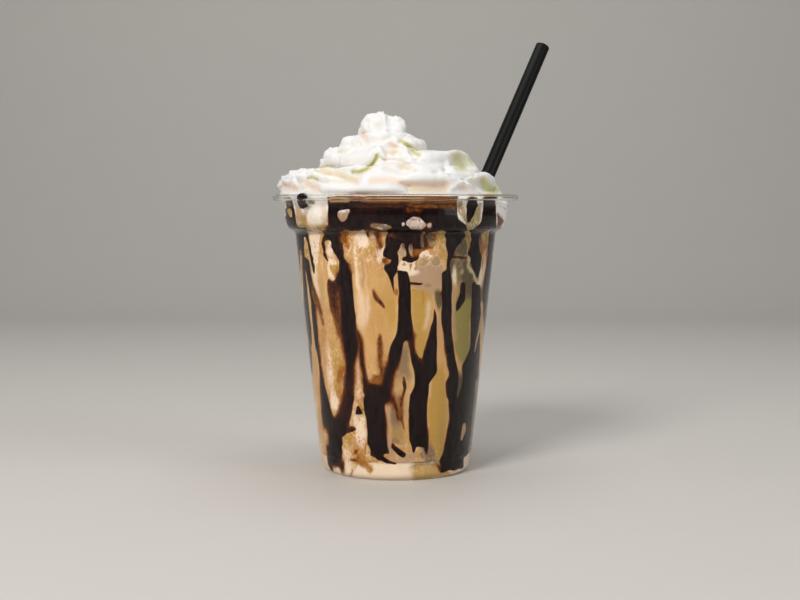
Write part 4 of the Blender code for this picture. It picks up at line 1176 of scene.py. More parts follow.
def finish_piece(name, mesh, finish, attributes=None, closed=True):
    if closed:
        bm = bmesh.new()
        bm.from_mesh(mesh)
        bmesh.ops.recalc_face_normals(bm, faces=bm.faces)
        bm.to_mesh(mesh)
        bm.free()
    mesh.shade_smooth()
    mesh.materials.clear()
    mesh.materials.append(finish)
    for key, values in (attributes or {}).items():
        mesh.attributes.new(key, "FLOAT", "POINT").data.foreach_set("value", np.asarray(values, np.float32))
    item = bpy.data.objects.new(name, mesh)
    bpy.context.scene.collection.objects.link(item)
    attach(item, BODY)
    return item


def evaluated_mesh(item):
    """The object's mesh with its modifiers applied; the object itself is removed."""
    depsgraph = bpy.context.evaluated_depsgraph_get()
    mesh = bpy.data.meshes.new_from_object(item.evaluated_get(depsgraph))
    bpy.data.objects.remove(item, do_unlink=True)
    return mesh


class Term:
    """A socket in a material's tree; arithmetic on it adds Math nodes."""

    def __init__(self, paint, socket):
        self.paint, self.socket = paint, socket

    def _math(self, operation, *terms):
        return self.paint.node("ShaderNodeMath", {"operation": operation}, dict(enumerate(terms)))

    def __add__(self, other):
        return self._math("ADD", self, other)

    def __sub__(self, other):
        return self._math("SUBTRACT", self, other)

    def __mul__(self, other):
        return self._math("MULTIPLY", self, other)

    def __rsub__(self, other):
        return self._math("SUBTRACT", other, self)

    def ramp(self, name):
        """How much of a named ramp this is through."""
        low, high, amount = RAMPS[name]
        share = self.paint.node("ShaderNodeMapRange", {"interpolation_type": "SMOOTHSTEP"},
                                {"Value": self, "From Min": low, "From Max": high})
        return share if amount == 1 else share * amount

    __radd__ = __add__
    __rmul__ = __mul__


class Paint:
    """A material's tree, built from one method."""

    def __init__(self, name):
        self.material = bpy.data.materials.new(name)
        self.material.use_nodes = True
        self.tree = self.material.node_tree
        self.tree.nodes.clear()

    def node(self, kind, settings, inputs, output=0):
        made = self.tree.nodes.new(kind)
        for key, value in settings.items():
            setattr(made, key, value)
        for key, value in inputs.items():
            if isinstance(value, Term):
                self.tree.links.new(value.socket, made.inputs[key])
            else:
                made.inputs[key].default_value = value
        return Term(self, made.outputs[output]) if made.outputs else None

    def attribute(self, name):
        return self.node("ShaderNodeAttribute", {"attribute_name": name}, {}, output="Fac")

    def grain(self, name):
        """A named noise over the piece's own coordinates."""
        size, detail, up, roughness, distortion = GRAINS[name]
        place = self.node("ShaderNodeTexCoord", {}, {}, output="Object")
        place = self.node("ShaderNodeMapping", {}, {"Vector": place, "Scale": (1, 1, up)})
        levels = {"Detail": detail, "Roughness": roughness, "Distortion": distortion}
        return self.node("ShaderNodeTexNoise", {}, {"Vector": place, "Scale": 1 / (size * MM)} | levels)

    def mix(self, share, low, high):
        """A colour part of the way from low to high."""
        low, high = (c if isinstance(c, Term) else (*c, 1.0) for c in (low, high))
        return self.node("ShaderNodeMix", {"data_type": "RGBA"}, {0: share, 6: low, 7: high}, output=2)

    def touch(self, name, grain):
        """The roughness and the relief that a grain gives a named surface."""
        rough, change, depth = SURFACES[name]
        relief = self.node("ShaderNodeBump", {}, {"Height": grain, "Distance": depth * MM})
        return {"Roughness": rough + change * grain, "Normal": relief}

    def surface(self, **sockets):
        """A Principled surface; a socket's name is written with underscores for its spaces."""
        values = {key.replace("_", " "): value for key, value in sockets.items()}
        for key, value in values.items():
            if key.endswith("Color") and not isinstance(value, Term):
                values[key] = (*value, 1.0)
        return self.node("ShaderNodeBsdfPrincipled", {}, values)

    def finish(self, shader):
        self.node("ShaderNodeOutputMaterial", {}, {"Surface": shader})
        return self.material


def clear_plastic_finish(colours):
    """Clear sheet: refracting to sight, and clear to shadow rays, so light reaches what it holds."""
    paint = Paint("clear plastic")
    shader = paint.surface(Base_Color=colours.clear, Transmission_Weight=1.0, IOR=CLEAR_IOR,
                           Specular_Tint=(CLEAR_SHINE, CLEAR_SHINE, CLEAR_SHINE, 1.0),
                           Roughness=CLEAR_ROUGHNESS + paint.grain("haze").ramp("haze"))
    through = (CLEAR_SHADOW, CLEAR_SHADOW, CLEAR_SHADOW, 1.0)
    open_way = paint.node("ShaderNodeBsdfTransparent", {}, {"Color": through})
    shadow = paint.node("ShaderNodeLightPath", {}, {}, output="Is Shadow Ray")
    return paint.finish(paint.node("ShaderNodeMixShader", {}, {0: shadow, 1: shader, 2: open_way}))


def washed(paint, colour, colours, streak):
    """The colour under the wall's washes, ragged where it is lively, then stained by thin sauce."""
    lively = paint.attribute("lively")
    rag, fleck, blot = paint.grain("rag") - MIDDLE, paint.grain("fleck"), paint.grain("blot")
    rags, pale_flecks, stain_flecks = (lively * more + least
                                       for more, least in (WASH_RAGS, PALE_FLECKS, STAIN_FLECKS))
    # The olive and shade washes are painted shade.
    for name in WASH_ORDER:
        share = paint.attribute(name) - MIDDLE + (streak - MIDDLE) * WASH_STREAKS + rag * rags
        share = share * (1 + lively * WASH_SHARPNESS) + MIDDLE
        colour = paint.mix(share.ramp("wash"), colour, getattr(colours, name))
    colour = paint.mix(blot.ramp("blot_pale") * lively, colour, colours.pale)
    colour = paint.mix(blot.ramp("blot_stain") * lively, colour, colours.stain)
    colour = paint.mix(fleck.ramp("fleck_pale") * pale_flecks, colour, colours.pale)
    colour = paint.mix(fleck.ramp("fleck_stain") * stain_flecks, colour, colours.stain)
    stain = paint.attribute("stain")
    stain = stain + rag * stain.ramp("stain_rag")
    colour = paint.mix(stain.ramp("stain"), colour, colours.stain)
    colour = paint.mix(stain.ramp("stain_thick"), colour, colours.sauce_red)
    edge = paint.attribute("film") * (FILM_LEVEL + rag * FILM_RAGS)
    colour = paint.mix(edge.ramp("film"), colour, colours.film)
    return paint.mix(edge.ramp("film_thick"), colour, colours.sauce_red)


def milkshake_finish(colours):
    """Milky drink: tan, with the washes that the wall carries, streaked and marbled."""
    paint = Paint("milkshake")
    streak, curd = paint.grain("streak"), paint.grain("curd")
    colour = paint.mix(streak.ramp("streak"), colours.shake, colours.shake_deep)
    colour = paint.mix(paint.grain("thread").ramp("thread"), colour, colours.pale)
    colour = paint.mix(paint.grain("cloud").ramp("cloud"), colour, colours.gold)
    colour = washed(paint, colour, colours, streak)
    return paint.finish(paint.surface(Base_Color=colour, Specular_IOR_Level=WET_GLOSS,
                                      **paint.touch("milkshake", curd)))


def sauce_finish(colours):
    """Chocolate syrup: near black where it is thick, red brown and then amber as it thins."""
    paint = Paint("chocolate sauce")
    smear, fleck = paint.grain("smear"), paint.grain("sauce_fleck")
    body = paint.attribute("body") + (smear - MIDDLE) * BODY_SMEAR + (fleck - MIDDLE) * BODY_FLECKS
    colour = paint.mix(body.ramp("body_amber"), colours.sauce_gold, colours.sauce_amber)
    colour = paint.mix(body.ramp("body_red"), colour, colours.sauce_red)
    colour = paint.mix(body.ramp("body_dark"), colour, colours.sauce)
    return paint.finish(paint.surface(Base_Color=colour, Specular_IOR_Level=WET_GLOSS,
                                      **paint.touch("sauce", smear)))


def cream_finish(colours):
    """Whipped cream: soft white with painted shade where it turns down and in hollows; stained where it
    meets the sauce.
    """
    paint = Paint("whipped cream")
    fine, wide = paint.grain("cream_fine"), paint.grain("cream_wide")
    # Painted shade: a deeper cream colour on faces that turn down.
    fold = paint.attribute("fold") + (wide - MIDDLE) * UNDER_SHADE_CLOUDS
    colour = paint.mix(fold.ramp("cream_under_shade"), colours.cream, colours.cream_under_shade)
    # Painted shade in the cream's hollows and creases.
    for name in HOLLOW_SHADES:
        share = paint.attribute(name) + (fine - MIDDLE) * HOLLOW_SHADE_GRAIN
        colour = paint.mix(share.ramp("cream_hollow_shade"), colour, getattr(colours, f"cream_{name}"))
    colour = paint.mix(paint.attribute("melt"), colour, colours.shake)
    colour = washed(paint, colour, colours, wide)
    return paint.finish(paint.surface(Base_Color=colour, IOR=CREAM_IOR, Subsurface_Weight=CREAM_GLOW,
                                      Subsurface_Radius=CREAM_GLOW_COLOUR,
                                      Subsurface_Scale=CREAM_GLOW_DEPTH * MM, **paint.touch("cream", fine)))


def straw_finish(colours):
    """Black straw plastic with faint lines along it from its drawing."""
    paint = Paint("black plastic")
    lines = paint.grain("drawn_lines")
    colour = paint.mix(lines.ramp("drawn_lines"), colours.straw, colours.straw_light)
    return paint.finish(paint.surface(Base_Color=colour, Specular_IOR_Level=STRAW_GLOSS,
                                      **paint.touch("straw", lines)))


def stage_finish(colours):
    paint = Paint("studio floor")
    colour = paint.mix(paint.grain("floor_cloud") * FLOOR_CLOUDS, colours.floor, colours.floor_soft)
    return paint.finish(paint.surface(Base_Color=colour, Roughness=FLOOR_ROUGHNESS))


def turned_tree():
    """Geometry Nodes: an outline of (radius, height) turned about the axis into a skin."""
    tree = bpy.data.node_groups.new("turned skin", "GeometryNodeTree")
    tree.is_modifier = True
    sockets = tree.interface.new_socket
    sockets("Outline", in_out="INPUT", socket_type="NodeSocketGeometry")
    sockets("Segments", in_out="INPUT", socket_type="NodeSocketInt")
    sockets("Merge Distance", in_out="INPUT", socket_type="NodeSocketFloat")
    sockets("Finish", in_out="INPUT", socket_type="NodeSocketMaterial")
    sockets("Skin", in_out="OUTPUT", socket_type="NodeSocketGeometry")
    made = {}
    for key, kind in (("given", "NodeGroupInput"), ("outline", "GeometryNodeMeshToCurve"),
                      ("path", "GeometryNodeCurvePrimitiveCircle"), ("sweep", "GeometryNodeCurveToMesh"),
                      ("merge", "GeometryNodeMergeByDistance"), ("realize", "GeometryNodeRealizeInstances"),
                      ("finish", "GeometryNodeSetMaterial"), ("result", "NodeGroupOutput")):
        made[key] = tree.nodes.new(kind)
    made["path"].inputs["Radius"].default_value = TURN_PIVOT * MM
    for source, output, target, name in (
            ("given", "Outline", "outline", "Mesh"), ("given", "Segments", "path", "Resolution"),
            ("path", "Curve", "sweep", "Curve"), ("outline", "Curve", "sweep", "Profile Curve"),
            ("sweep", "Mesh", "merge", "Geometry"), ("given", "Merge Distance", "merge", "Distance"),
            ("merge", "Geometry", "realize", "Geometry"), ("realize", "Geometry", "finish", "Geometry"),
            ("given", "Finish", "finish", "Material"), ("finish", "Geometry", "result", "Skin")):
        tree.links.new(made[source].outputs[output], made[target].inputs[name])
    return tree


def turned_mesh(name, outline, segments, finish, closed):
    """The outline's points (radius, height) in mm turned about Z by the Geometry Nodes tree."""
    tree = bpy.data.node_groups.get("turned skin") or turned_tree()
    mesh = bpy.data.meshes.new(name)
    points = [((radius - TURN_PIVOT) * MM, -height * MM, 0) for radius, height in outline]
    edges = [(i, i + 1) for i in range(len(points) - 1)]
    if closed:
        edges.append((len(points) - 1, 0))
    mesh.from_pydata(points, edges, [])
    item = bpy.data.objects.new(name, mesh)
    bpy.context.scene.collection.objects.link(item)
    nodes = item.modifiers.new("turn", "NODES")
    nodes.node_group = tree
    places = {s.name: s.identifier for s in tree.interface.items_tree if s.in_out == "INPUT"}
    nodes[places["Segments"]] = segments
    nodes[places["Merge Distance"]] = MERGE_DISTANCE * MM
    nodes[places["Finish"]] = finish
    return evaluated_mesh(item)


def grid_faces(rows, count, keep=None):
    """Quads of a grid that closes round on itself, as rows of vertex numbers."""
    faces = []
    for i in range(rows - 1):
        for j in range(count):
            if keep is None or keep[i, j]:
                k = (j + 1) % count
                faces.append((i * count + j, i * count + k, (i + 1) * count + k, (i + 1) * count + j))
    return faces


def grid_ends(rows, count):
    """The faces that close the first and the last row of such a grid."""
    return [tuple(range(count))[::-1], tuple(range((rows - 1) * count, rows * count))]


def contents_grid(offset):
    """Points on the sheet's inner face, moved out along its normal by an offset for each row and column."""
    radius, height, normal, _ = wall()
    radius = radius[:, None] + normal[:, :1] * offset
    height = height[:, None] + normal[:, 1:] * offset
    return turn_places(np.maximum(radius, 0.0), height, columns()[None, :])


def full_rows(values, fill):
    """A wall array with rows for the base put below it."""
    return np.vstack((np.full((BASE_ROWS, WALL_COLUMNS), fill), values))


def drink_mesh_data():
    depth, _, tints = sauce_pattern()
    _, height, _, _ = wall()
    depth = full_rows(depth, FAR_OUTSIDE)
    places = contents_grid(drink_offset(depth, height[:, None]))
    top = int(np.argmax(height[BASE_ROWS:] > CLING_TOP)) + BASE_ROWS
    lip = turn_places(inside_radius(DRINK_TOP) - CLING, DRINK_TOP, columns()[None, :])
    places = np.concatenate((places[1:top], lip))
    rows = len(places)
    faces = grid_faces(rows, WALL_COLUMNS)
    points = places.reshape(-1, 3)
    points = np.vstack((points, ((0, 0, points[0, 2]), (0, 0, DRINK_TOP))))
    low, high, last = len(points) - 2, len(points) - 1, (rows - 1) * WALL_COLUMNS
    for j in range(WALL_COLUMNS):
        k = (j + 1) % WALL_COLUMNS
        faces.append((low, k, j))
        faces.append((high, last + j, last + k))
    values = {name: np.append(full_rows(tint, 0.0)[1:top + 1].ravel(), (0, 0))
              for name, tint in tints.items()}
    return points, faces, values


def sauce_mesh_data():
    """A closed skin of sauce: its face against the wall, its back seated in the drink or cream."""
    depth, body, _ = sauce_pattern()
    _, height, _, first = wall()
    outer = DRINK_REACH + FACE_SLOPE * np.clip(depth, -FACE_REACH, FACE_REACH)
    inner = np.minimum(drink_offset(depth, height[first:, None]) - SEAT, outer - LEAST_SAUCE)
    outer, inner = (contents_grid(full_rows(values, 0.0))[first:] for values in (outer, inner))
    near = depth > SAUCE_TRIM
    corners = np.stack((near[:-1], near[1:], np.roll(near, -1, axis=1)[:-1], np.roll(near, -1, axis=1)[1:]))
    keep = corners.any(axis=0)
    count = depth.size
    fronts = grid_faces(len(depth), WALL_COLUMNS, keep)
    faces = fronts + [tuple(v + count for v in face[::-1]) for face in fronts]
    sides = dict.fromkeys(side for face in fronts for side in zip(face, face[1:] + face[:1]))
    faces += [(b, a, a + count, b + count) for a, b in sides if (b, a) not in sides]
    points = np.vstack((outer.reshape(-1, 3), inner.reshape(-1, 3)))
    body = np.tile(body.ravel(), 2)
    for lump in RIM_SAUCE:
        skin, sides = lump_skin(*lump)
        faces += [tuple(v + len(points) for v in side) for side in sides]
        points = np.vstack((points, skin))
        body = np.append(body, np.full(len(skin), FULL_BODY))
    used = np.unique(np.array([v for face in faces for v in face]))
    renumber = np.full(len(points), -1)
    renumber[used] = np.arange(len(used))
    return points[used], [tuple(int(renumber[v]) for v in face) for face in faces], {"body": body[used]}


def rope_skin(stations):
    """A piped rope: a ridged round section along a smooth route, turning slowly; points and faces."""
    route = [math.dist(a[:3], b[:3]) for a, b in zip(stations, stations[1:])]
    line = eased(stations, max(2, round(sum(route) / len(route) / ROPE_STEP)))
    points = []
    travelled = 0.0
    for i, (*middle, radius) in enumerate(line):
        middle = Vector(middle)
        along = Vector(line[min(i + 1, len(line) - 1)][:3]) - Vector(line[max(i - 1, 0)][:3])
        side = along.normalized().cross(Vector((0, 0, 1))).normalized()
        up = side.cross(along.normalized())
        if i:
            travelled += (middle - Vector(line[i - 1][:3])).length
        from_end = min(i, len(line) - 1 - i) / ROPE_END_STEPS
        taper = min(1.0, ROPE_END_SHARE + (1 - ROPE_END_SHARE) * from_end)
        twist = TURN * travelled / ROPE_TWIST / ROPE_RIDGES
        for k in range(ROPE_SIDES):
            turn = TURN * k / ROPE_SIDES
            ridge = 1 - ROPE_RIDGE_DEPTH * (0.5 - 0.5 * math.cos(ROPE_RIDGES * (turn - twist)))
            reach = radius * taper * ridge
            points.append(middle + side * reach * math.cos(turn) + up * reach * math.sin(turn))
    return points, grid_faces(len(line), ROPE_SIDES) + grid_ends(len(line), ROPE_SIDES)


def lump_skin(x, y, z, wide, tall):
    bm = bmesh.new()
    bmesh.ops.create_uvsphere(bm, u_segments=LUMP_SEGMENTS, v_segments=LUMP_RINGS, radius=1.0)
    points = [Vector((x + v.co.x * wide, y + v.co.y * wide, z + v.co.z * tall)) for v in bm.verts]
    faces = [tuple(v.index for v in face.verts) for face in bm.faces]
    bm.free()
    return points, faces


def collar_skin():
    """The disc of cream inside the cup's mouth, a little in from the wall."""
    levels = np.arange(DRINK_TOP - COLLAR_SINK, CREAM_COLLAR_TOP, COLLAR_STEP)
    angle = np.linspace(0, TURN, COLLAR_COLUMNS, endpoint=False)
    points = []
    for level in levels:
        points += turn_places(inside_radius(level) - COLLAR_INSET, level, angle).tolist()
    faces = grid_faces(len(levels), COLLAR_COLUMNS) + grid_ends(len(levels), COLLAR_COLUMNS)
    return [Vector(p) for p in points], faces


def cream_mesh():
    """Ropes, lumps and collar under one skin, pressed to the wall where they meet it."""
    skins = [rope_skin(s) for s in CREAM_ROPES.values()] + [lump_skin(*s) for s in CREAM_LUMPS.values()]
    skins.append(collar_skin())
    points, faces = [], []
    for some, theirs in skins:
        faces += [tuple(v + len(points) for v in face) for face in theirs]
        points += [tuple(p * MM) for p in some]
    mesh = bpy.data.meshes.new("cream core")
    mesh.from_pydata(points, [], faces)
    item = bpy.data.objects.new("cream core", mesh)
    bpy.context.scene.collection.objects.link(item)
    remesh = item.modifiers.new("one skin", "REMESH")
    remesh.mode = "VOXEL"
    remesh.voxel_size = CREAM_VOXEL * MM
    smooth = item.modifiers.new("soften", "SMOOTH")
    smooth.factor, smooth.iterations = CREAM_SOFTNESS, CREAM_SOFTENING
    mesh = evaluated_mesh(item)
    count = len(mesh.vertices)
    place = np.empty(count * 3, np.float32)
    mesh.vertices.foreach_get("co", place)
    place = place.reshape(-1, 3).astype(float) / MM
    normal = np.empty(count * 3, np.float32)
    mesh.vertices.foreach_get("normal", normal)
    place, values = shaped_cream(place, normal.reshape(-1, 3).astype(float))
    mesh.vertices.foreach_set("co", to_row(place).astype(np.float32).ravel())
    mesh.update()
    return mesh, values


def cream_crumbs(place, facing):
    """How far the skin is crumbled: at the heap's left and on its crest."""
    x, _, z = place.T
    ragged = fade("left_crumbs", x) * fade("left_crumbs_top", z) * fade("left_crumbs_foot", z)
    ragged = np.maximum(ragged, SIDE_CRUMBS * fade("side_crumbs", x) * fade("side_crumbs_foot", z))
    ragged = np.maximum(ragged, CREST_CRUMBS * fade("crest_crumbs_foot", z) * fade("turned_off", facing))
    grit = np.abs(layered("cream_crumbs", place)) + np.abs(layered("cream_grit", place))
    return ragged * (grit - CRUMB_EDGE)


def shaped_cream(place, normal):
    """Relief on the skin, then its collar pressed to the wall; also its painted shade and how stained it is.
    """
    depth, _, tints = sauce_pattern()
    x, y, z = place.T
    radius = np.hypot(x, y)
    angle = np.arctan2(x, -y)
    free = fade("cream_free", z)
    rows, across = wall_to_photo(place)
    sight = np.array(CAMERA_PLACE) - place
    facing = np.sum(normal * sight, axis=1) / np.linalg.norm(sight, axis=1)
    shown = fade("shown", facing)
    seen = fade("seen", facing) * fade("front_half", y)
    relief = np.zeros(len(place))
    for deep, left, right, _, _, *stations in CREAM_STROKES.values():
        relief += deep * shown * stroke_share(stations, left, right, rows, across)
    bent = place + np.stack([layered(f"crease_{axis}", place) for axis in "xyz"], axis=1)
    crease = np.exp(-(layered("crease", bent) / CREASE_WIDTH) ** 2)
    relief -= (1 - CREASE_SPARED * shown) * CREASE_DEPTH * crease
    relief += layered("cream_lumps", place) + cream_crumbs(place, facing)
    place = place + normal * (free * relief)[:, None]
    rows, across = wall_to_photo(place)
    # Painted shade along the strokes, in the colour that each names.
    washes = {name: np.zeros(len(place)) for name in HOLLOW_SHADES}
    for _, left, right, wash, amount, *stations in CREAM_STROKES.values():
        if wash:
            share = amount * seen * stroke_share(stations, left, right, rows, across)
            washes[wash] = np.maximum(washes[wash], share)
    # Painted shade in golden tan in the creases on faces turned from the camera.
    washes["warm"] = np.maximum(washes["warm"], (1 - shown) * CREASE_SHADE * crease)
    # Painted shade: more of the deeper cream colour where the face turns down.
    fold = UNDER_SHADE_LEVEL - UNDER_SHADE_SLOPE * normal[:, 2] + layered("cream_under_shade", place)
    at_wall = inside_radius(z)
    grip = fade("near_wall", at_wall - radius) * (z < GRIP_TOP) * fade("cream_grip", z)
    target = at_wall + drink_offset(wall_sample(depth, angle, z), z)
    share = 1 + grip * (target / np.maximum(radius, 1e-6) - 1)
    place = np.stack((place[:, 0] * share, place[:, 1] * share, place[:, 2]), axis=1)
    values = {name: grip * wall_sample(tint, angle, z) for name, tint in tints.items()}
    values["melt"] = grip * fade("cream_melt", z)
    return place, values | {"fold": np.clip(fold, 0, 1) * free, **washes}


def straw_axis():
    lean = Vector((*STRAW_LEAN, 1.0)).normalized()
    foot = Vector((*STRAW_FOOT, PANEL_TOP + STRAW_GAP + STRAW_RADIUS * math.sqrt(1 - lean.z ** 2)))
    return foot, lean


class MilkshakeSizes(bpy.types.PropertyGroup):
    cup_segments: bpy.props.IntProperty(
        name="Cup segments", description="Flat steps round the cup", default=192, min=48, max=512)
    straw_segments: bpy.props.IntProperty(
        name="Straw segments", description="Flat steps round the straw", default=48, min=12, max=128)
    floor_size: bpy.props.FloatProperty(
        name="Floor size", description="Half the width of the studio floor", default=1.6, unit="LENGTH")
    key_power: bpy.props.FloatProperty(
        name="Key light", description="Power of the key light at the front left", default=7.4, unit="POWER")
    fill_power: bpy.props.FloatProperty(
        name="Fill light", description="Power of the fill light at the right", default=2.0, unit="POWER")
    top_power: bpy.props.FloatProperty(
        name="Top light", description="Power of the light over the cup", default=3.4, unit="POWER")
    back_power: bpy.props.FloatProperty(
        name="Back light", description="Power of the light behind the cup", default=0.3, unit="POWER")


def colour_property(name, description, *levels):
    return bpy.props.FloatVectorProperty(name=name, description=description, default=srgb(*levels),
                                         subtype="COLOR", min=0.0, max=1.0)


class MilkshakeColours(bpy.types.PropertyGroup):
    clear: colour_property("Clear plastic", "Tint of the cup's sheet", 252, 252, 250)
    shake: colour_property("Milkshake", "The drink's main colour", 215, 173, 114)
    shake_deep: colour_property("Milkshake, deep", "The drink's darker streaks", 199, 153, 98)
    # Milk also carries the painted highlight on the bubbles' rims.
    pale: colour_property("Milk", "Pale milky patches", 242, 222, 198)
    gold: colour_property("Caramel", "Golden patches", 190, 151, 74)
    # Painted shade: the duller drink on the dim right side.
    olive: colour_property("Shadowed drink", "Duller patches at the right", 152, 138, 74)
    # Foam also colours the painted highlight along the cup's right edge.
    foam: colour_property("Foam", "Mauve brown foam", 184, 152, 122)
    dusk: colour_property("Dusk", "Where thin sauce darkens the drink at the right", 92, 80, 58)
    bubble: colour_property("Bubble", "Through a bubble in the foam", 168, 146, 106)
    # Painted shade: a darker drink colour for patches that lie in shade.
    shade: colour_property("Shaded drink", "Where the drink lies back from the wall", 136, 112, 88)
    stain: colour_property("Stain", "Sauce spread thin in the drink", 168, 104, 40)
    film: colour_property("Film", "Sauce film beside the runs", 150, 90, 36)
    sauce: colour_property("Sauce", "Thick chocolate sauce", 22, 8, 7)
    sauce_red: colour_property("Sauce, thin", "Thin chocolate sauce", 62, 24, 13)
    sauce_amber: colour_property("Sauce, thinnest", "Amber edge of the sauce", 150, 92, 34)
    sauce_gold: colour_property("Sauce, film", "Golden film of sauce under the rim", 196, 160, 112)
    cream: colour_property("Cream", "Whipped cream", 254, 253, 252)
    # Painted shade on the cream's faces that turn down.
    cream_under_shade: colour_property("Cream folds", "Warmer cream in the folds", 250, 244, 234)
    # Painted shade in the cream's hollows and creases.
    cream_warm: colour_property("Cream hollows", "Golden tan cream in deep hollows", 238, 218, 178)
    cream_moss: colour_property("Cream shade", "Yellow green cream in deep hollows", 194, 190, 92)
    cream_rose: colour_property("Cream blush", "Pinkish cream on soft slopes", 244, 224, 208)
    straw: colour_property("Straw", "Black straw", 9, 9, 8)
    straw_light: colour_property("Straw, light", "Lighter lines of the straw", 15, 14, 14)
    floor: colour_property("Floor", "Studio floor", 222, 218, 212)
    floor_soft: colour_property("Floor, soft", "Faint clouds on the floor", 214, 210, 204)


class MILKSHAKE_OT_cup(bpy.types.Operator):
    """Turns the clear cup from its sheet's line"""
    bl_idname = "milkshake.cup"
    bl_label = "Cup"

    def execute(self, context):
        line = sheet_line()
        inner, outer = offset_line(line, SHEET / 2), offset_line(line, -SHEET / 2)
        inner[0, 0] = outer[0, 0] = 0.0
        finish = clear_plastic_finish(context.scene.milkshake_colours)
        outline = np.vstack((outer, inner[::-1]))
        mesh = turned_mesh("clear_cup", outline, context.scene.milkshake_sizes.cup_segments, finish, False)
        mesh.transform(Matrix.Translation(Vector(CUP_AXIS) * MM))
        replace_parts(finish_piece("clear_cup", mesh, finish), "cup")
        return {"FINISHED"}


class MILKSHAKE_OT_drink(bpy.types.Operator):
    """Fills the cup with the drink, its face stepped back behind the sauce"""
    bl_idname = "milkshake.drink"
    bl_label = "Drink"

    def execute(self, context):
        points, faces, values = drink_mesh_data()
        finish = milkshake_finish(context.scene.milkshake_colours)
        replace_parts(add_piece("shake_body", points, faces, finish, values), "drink")
        return {"FINISHED"}


class MILKSHAKE_OT_sauce(bpy.types.Operator):
    """Lays the chocolate sauce on the inside of the wall"""
    bl_idname = "milkshake.sauce"
    bl_label = "Sauce"

    def execute(self, context):
        points, faces, values = sauce_mesh_data()
        finish = sauce_finish(context.scene.milkshake_colours)
        item = add_piece("sauce_runs", points, faces, finish, values)
        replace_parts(item, "chocolate_sauce")
        return {"FINISHED"}


class MILKSHAKE_OT_cream(bpy.types.Operator):
    """Pipes the whipped cream over the drink"""
    bl_idname = "milkshake.cream"
    bl_label = "Whipped cream"

    def execute(self, context):
        mesh, values = cream_mesh()
        finish = cream_finish(context.scene.milkshake_colours)
        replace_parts(finish_piece("cream_heap", mesh, finish, values, closed=False), "whipped_cream")
        return {"FINISHED"}


class MILKSHAKE_OT_straw(bpy.types.Operator):
    """Turns the straw and stands it in the drink"""
    bl_idname = "milkshake.straw"
    bl_label = "Straw"

    def execute(self, context):
        bore, lip = STRAW_RADIUS - STRAW_WALL, STRAW_WALL / 2
        outline = []
        for end, first in ((STRAW_LENGTH - lip, 0), (lip, 180)):
            for turn in map(math.radians, range(first, first + 181, STRAW_LIP_STEP)):
                outline.append((bore + lip + lip * math.cos(turn), end + lip * math.sin(turn)))
        finish = straw_finish(context.scene.milkshake_colours)
        mesh = turned_mesh("straw_tube", outline, context.scene.milkshake_sizes.straw_segments, finish, True)
        foot, lean = straw_axis()
        mesh.transform(lean.to_track_quat("Z", "Y").to_matrix().to_4x4())
        mesh.transform(Matrix.Translation((foot + Vector(CUP_AXIS)) * MM))
        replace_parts(finish_piece("straw_tube", mesh, finish), "straw")
        return {"FINISHED"}


def add_area_light(name, place, power, size, colour):
    light = bpy.data.lights.new(name, "AREA")
    light.shape = "RECTANGLE"
    light.size, light.size_y = size
    light.energy = power
    light.color = colour
    item = bpy.data.objects.new(name, light)
    item.location = place
    item.rotation_euler = (Vector(LIGHT_AIM) - Vector(place)).to_track_quat("-Z", "Y").to_euler()
    bpy.context.scene.collection.objects.link(item)


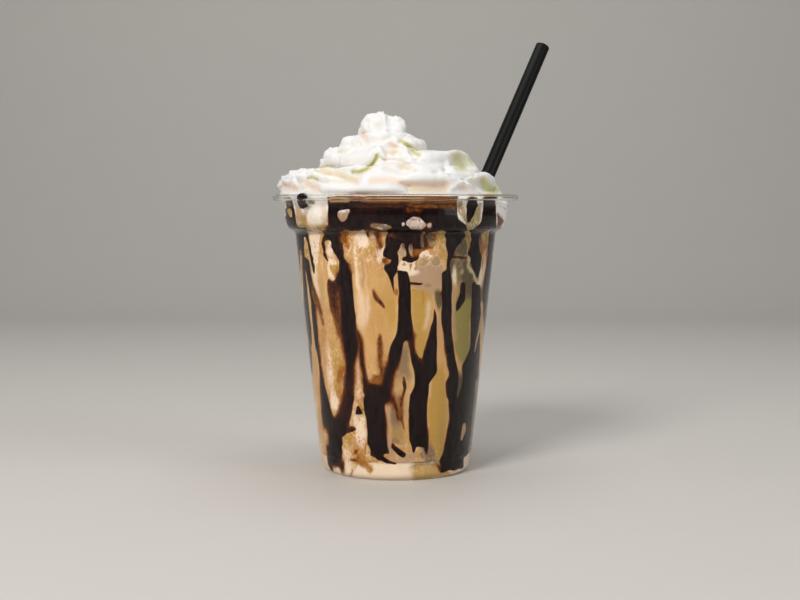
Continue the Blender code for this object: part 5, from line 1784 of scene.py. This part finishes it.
class MILKSHAKE_OT_stage(bpy.types.Operator):
    """Sets the pale floor, the soft lights and the photograph's camera"""
    bl_idname = "milkshake.stage"
    bl_label = "Studio"

    def execute(self, context):
        sizes, colours = context.scene.milkshake_sizes, context.scene.milkshake_colours
        half = sizes.floor_size
        bend = half * BEND_START
        line = [(-half, 0.0), (bend, 0.0)]
        for turn in map(math.radians, range(0, 91, BEND_STEP)):
            line.append((bend + BEND_RADIUS * math.sin(turn), BEND_RADIUS - BEND_RADIUS * math.cos(turn)))
        line.append((bend + BEND_RADIUS, WALL_TOP))
        points = [(side * half * FLOOR_WIDTH, y, z) for y, z in line for side in (-1, 1)]
        faces = [(2 * i, 2 * i + 1, 2 * i + 3, 2 * i + 2) for i in range(len(line) - 1)]
        mesh = bpy.data.meshes.new("studio_floor")
        mesh.from_pydata(points, [], faces)
        mesh.shade_smooth()
        mesh.materials.append(stage_finish(colours))
        floor = bpy.data.objects.new("studio_floor", mesh)
        context.scene.collection.objects.link(floor)
        for name, (power, place, size, colour) in LIGHTS.items():
            add_area_light(name, place, getattr(sizes, power), size, colour)
        world = bpy.data.worlds.new("studio")
        world.use_nodes = True
        sky = world.node_tree.nodes["Background"].inputs
        sky["Color"].default_value = WORLD_COLOUR
        sky["Strength"].default_value = WORLD_STRENGTH
        context.scene.world = world
        camera = bpy.data.cameras.new("camera")
        camera.sensor_width = SENSOR_WIDTH
        camera.lens = SENSOR_WIDTH * FOCAL_PIXELS / PHOTO_WIDTH
        camera.clip_start = CLIP_START
        item = bpy.data.objects.new("camera", camera)
        item.location = to_row(CAMERA_PLACE)
        item.rotation_euler = (math.pi / 2 - CAMERA_TILT, 0.0, 0.0)
        context.scene.collection.objects.link(item)
        context.scene.camera = item
        context.scene.view_settings.view_transform = "Standard"
        return {"FINISHED"}


class MILKSHAKE_PT_panel(bpy.types.Panel):
    """Lists the milkshake's pieces and settings"""
    bl_idname = "MILKSHAKE_PT_panel"
    bl_label = "Milkshake"
    bl_space_type = "VIEW_3D"
    bl_region_type = "UI"
    bl_category = "Milkshake"

    def draw(self, context):
        for operator in OPERATORS:
            self.layout.operator(operator.bl_idname)
        for settings in (context.scene.milkshake_sizes, context.scene.milkshake_colours):
            for name in settings.__annotations__:
                self.layout.prop(settings, name)


OPERATORS = (MILKSHAKE_OT_stage, MILKSHAKE_OT_cup, MILKSHAKE_OT_drink, MILKSHAKE_OT_sauce,
             MILKSHAKE_OT_cream, MILKSHAKE_OT_straw)
CLASSES = (MilkshakeSizes, MilkshakeColours, *OPERATORS, MILKSHAKE_PT_panel)


def register():
    for item in CLASSES:
        bpy.utils.register_class(item)
    bpy.types.Scene.milkshake_sizes = bpy.props.PointerProperty(type=MilkshakeSizes)
    bpy.types.Scene.milkshake_colours = bpy.props.PointerProperty(type=MilkshakeColours)


def unregister():
    del bpy.types.Scene.milkshake_colours
    del bpy.types.Scene.milkshake_sizes
    for item in reversed(CLASSES):
        bpy.utils.unregister_class(item)


def main():
    register()
    for name in ("stage", "cup", "drink", "sauce", "cream", "straw"):
        getattr(bpy.ops.milkshake, name)()


if __name__ == "__main__":
    main()
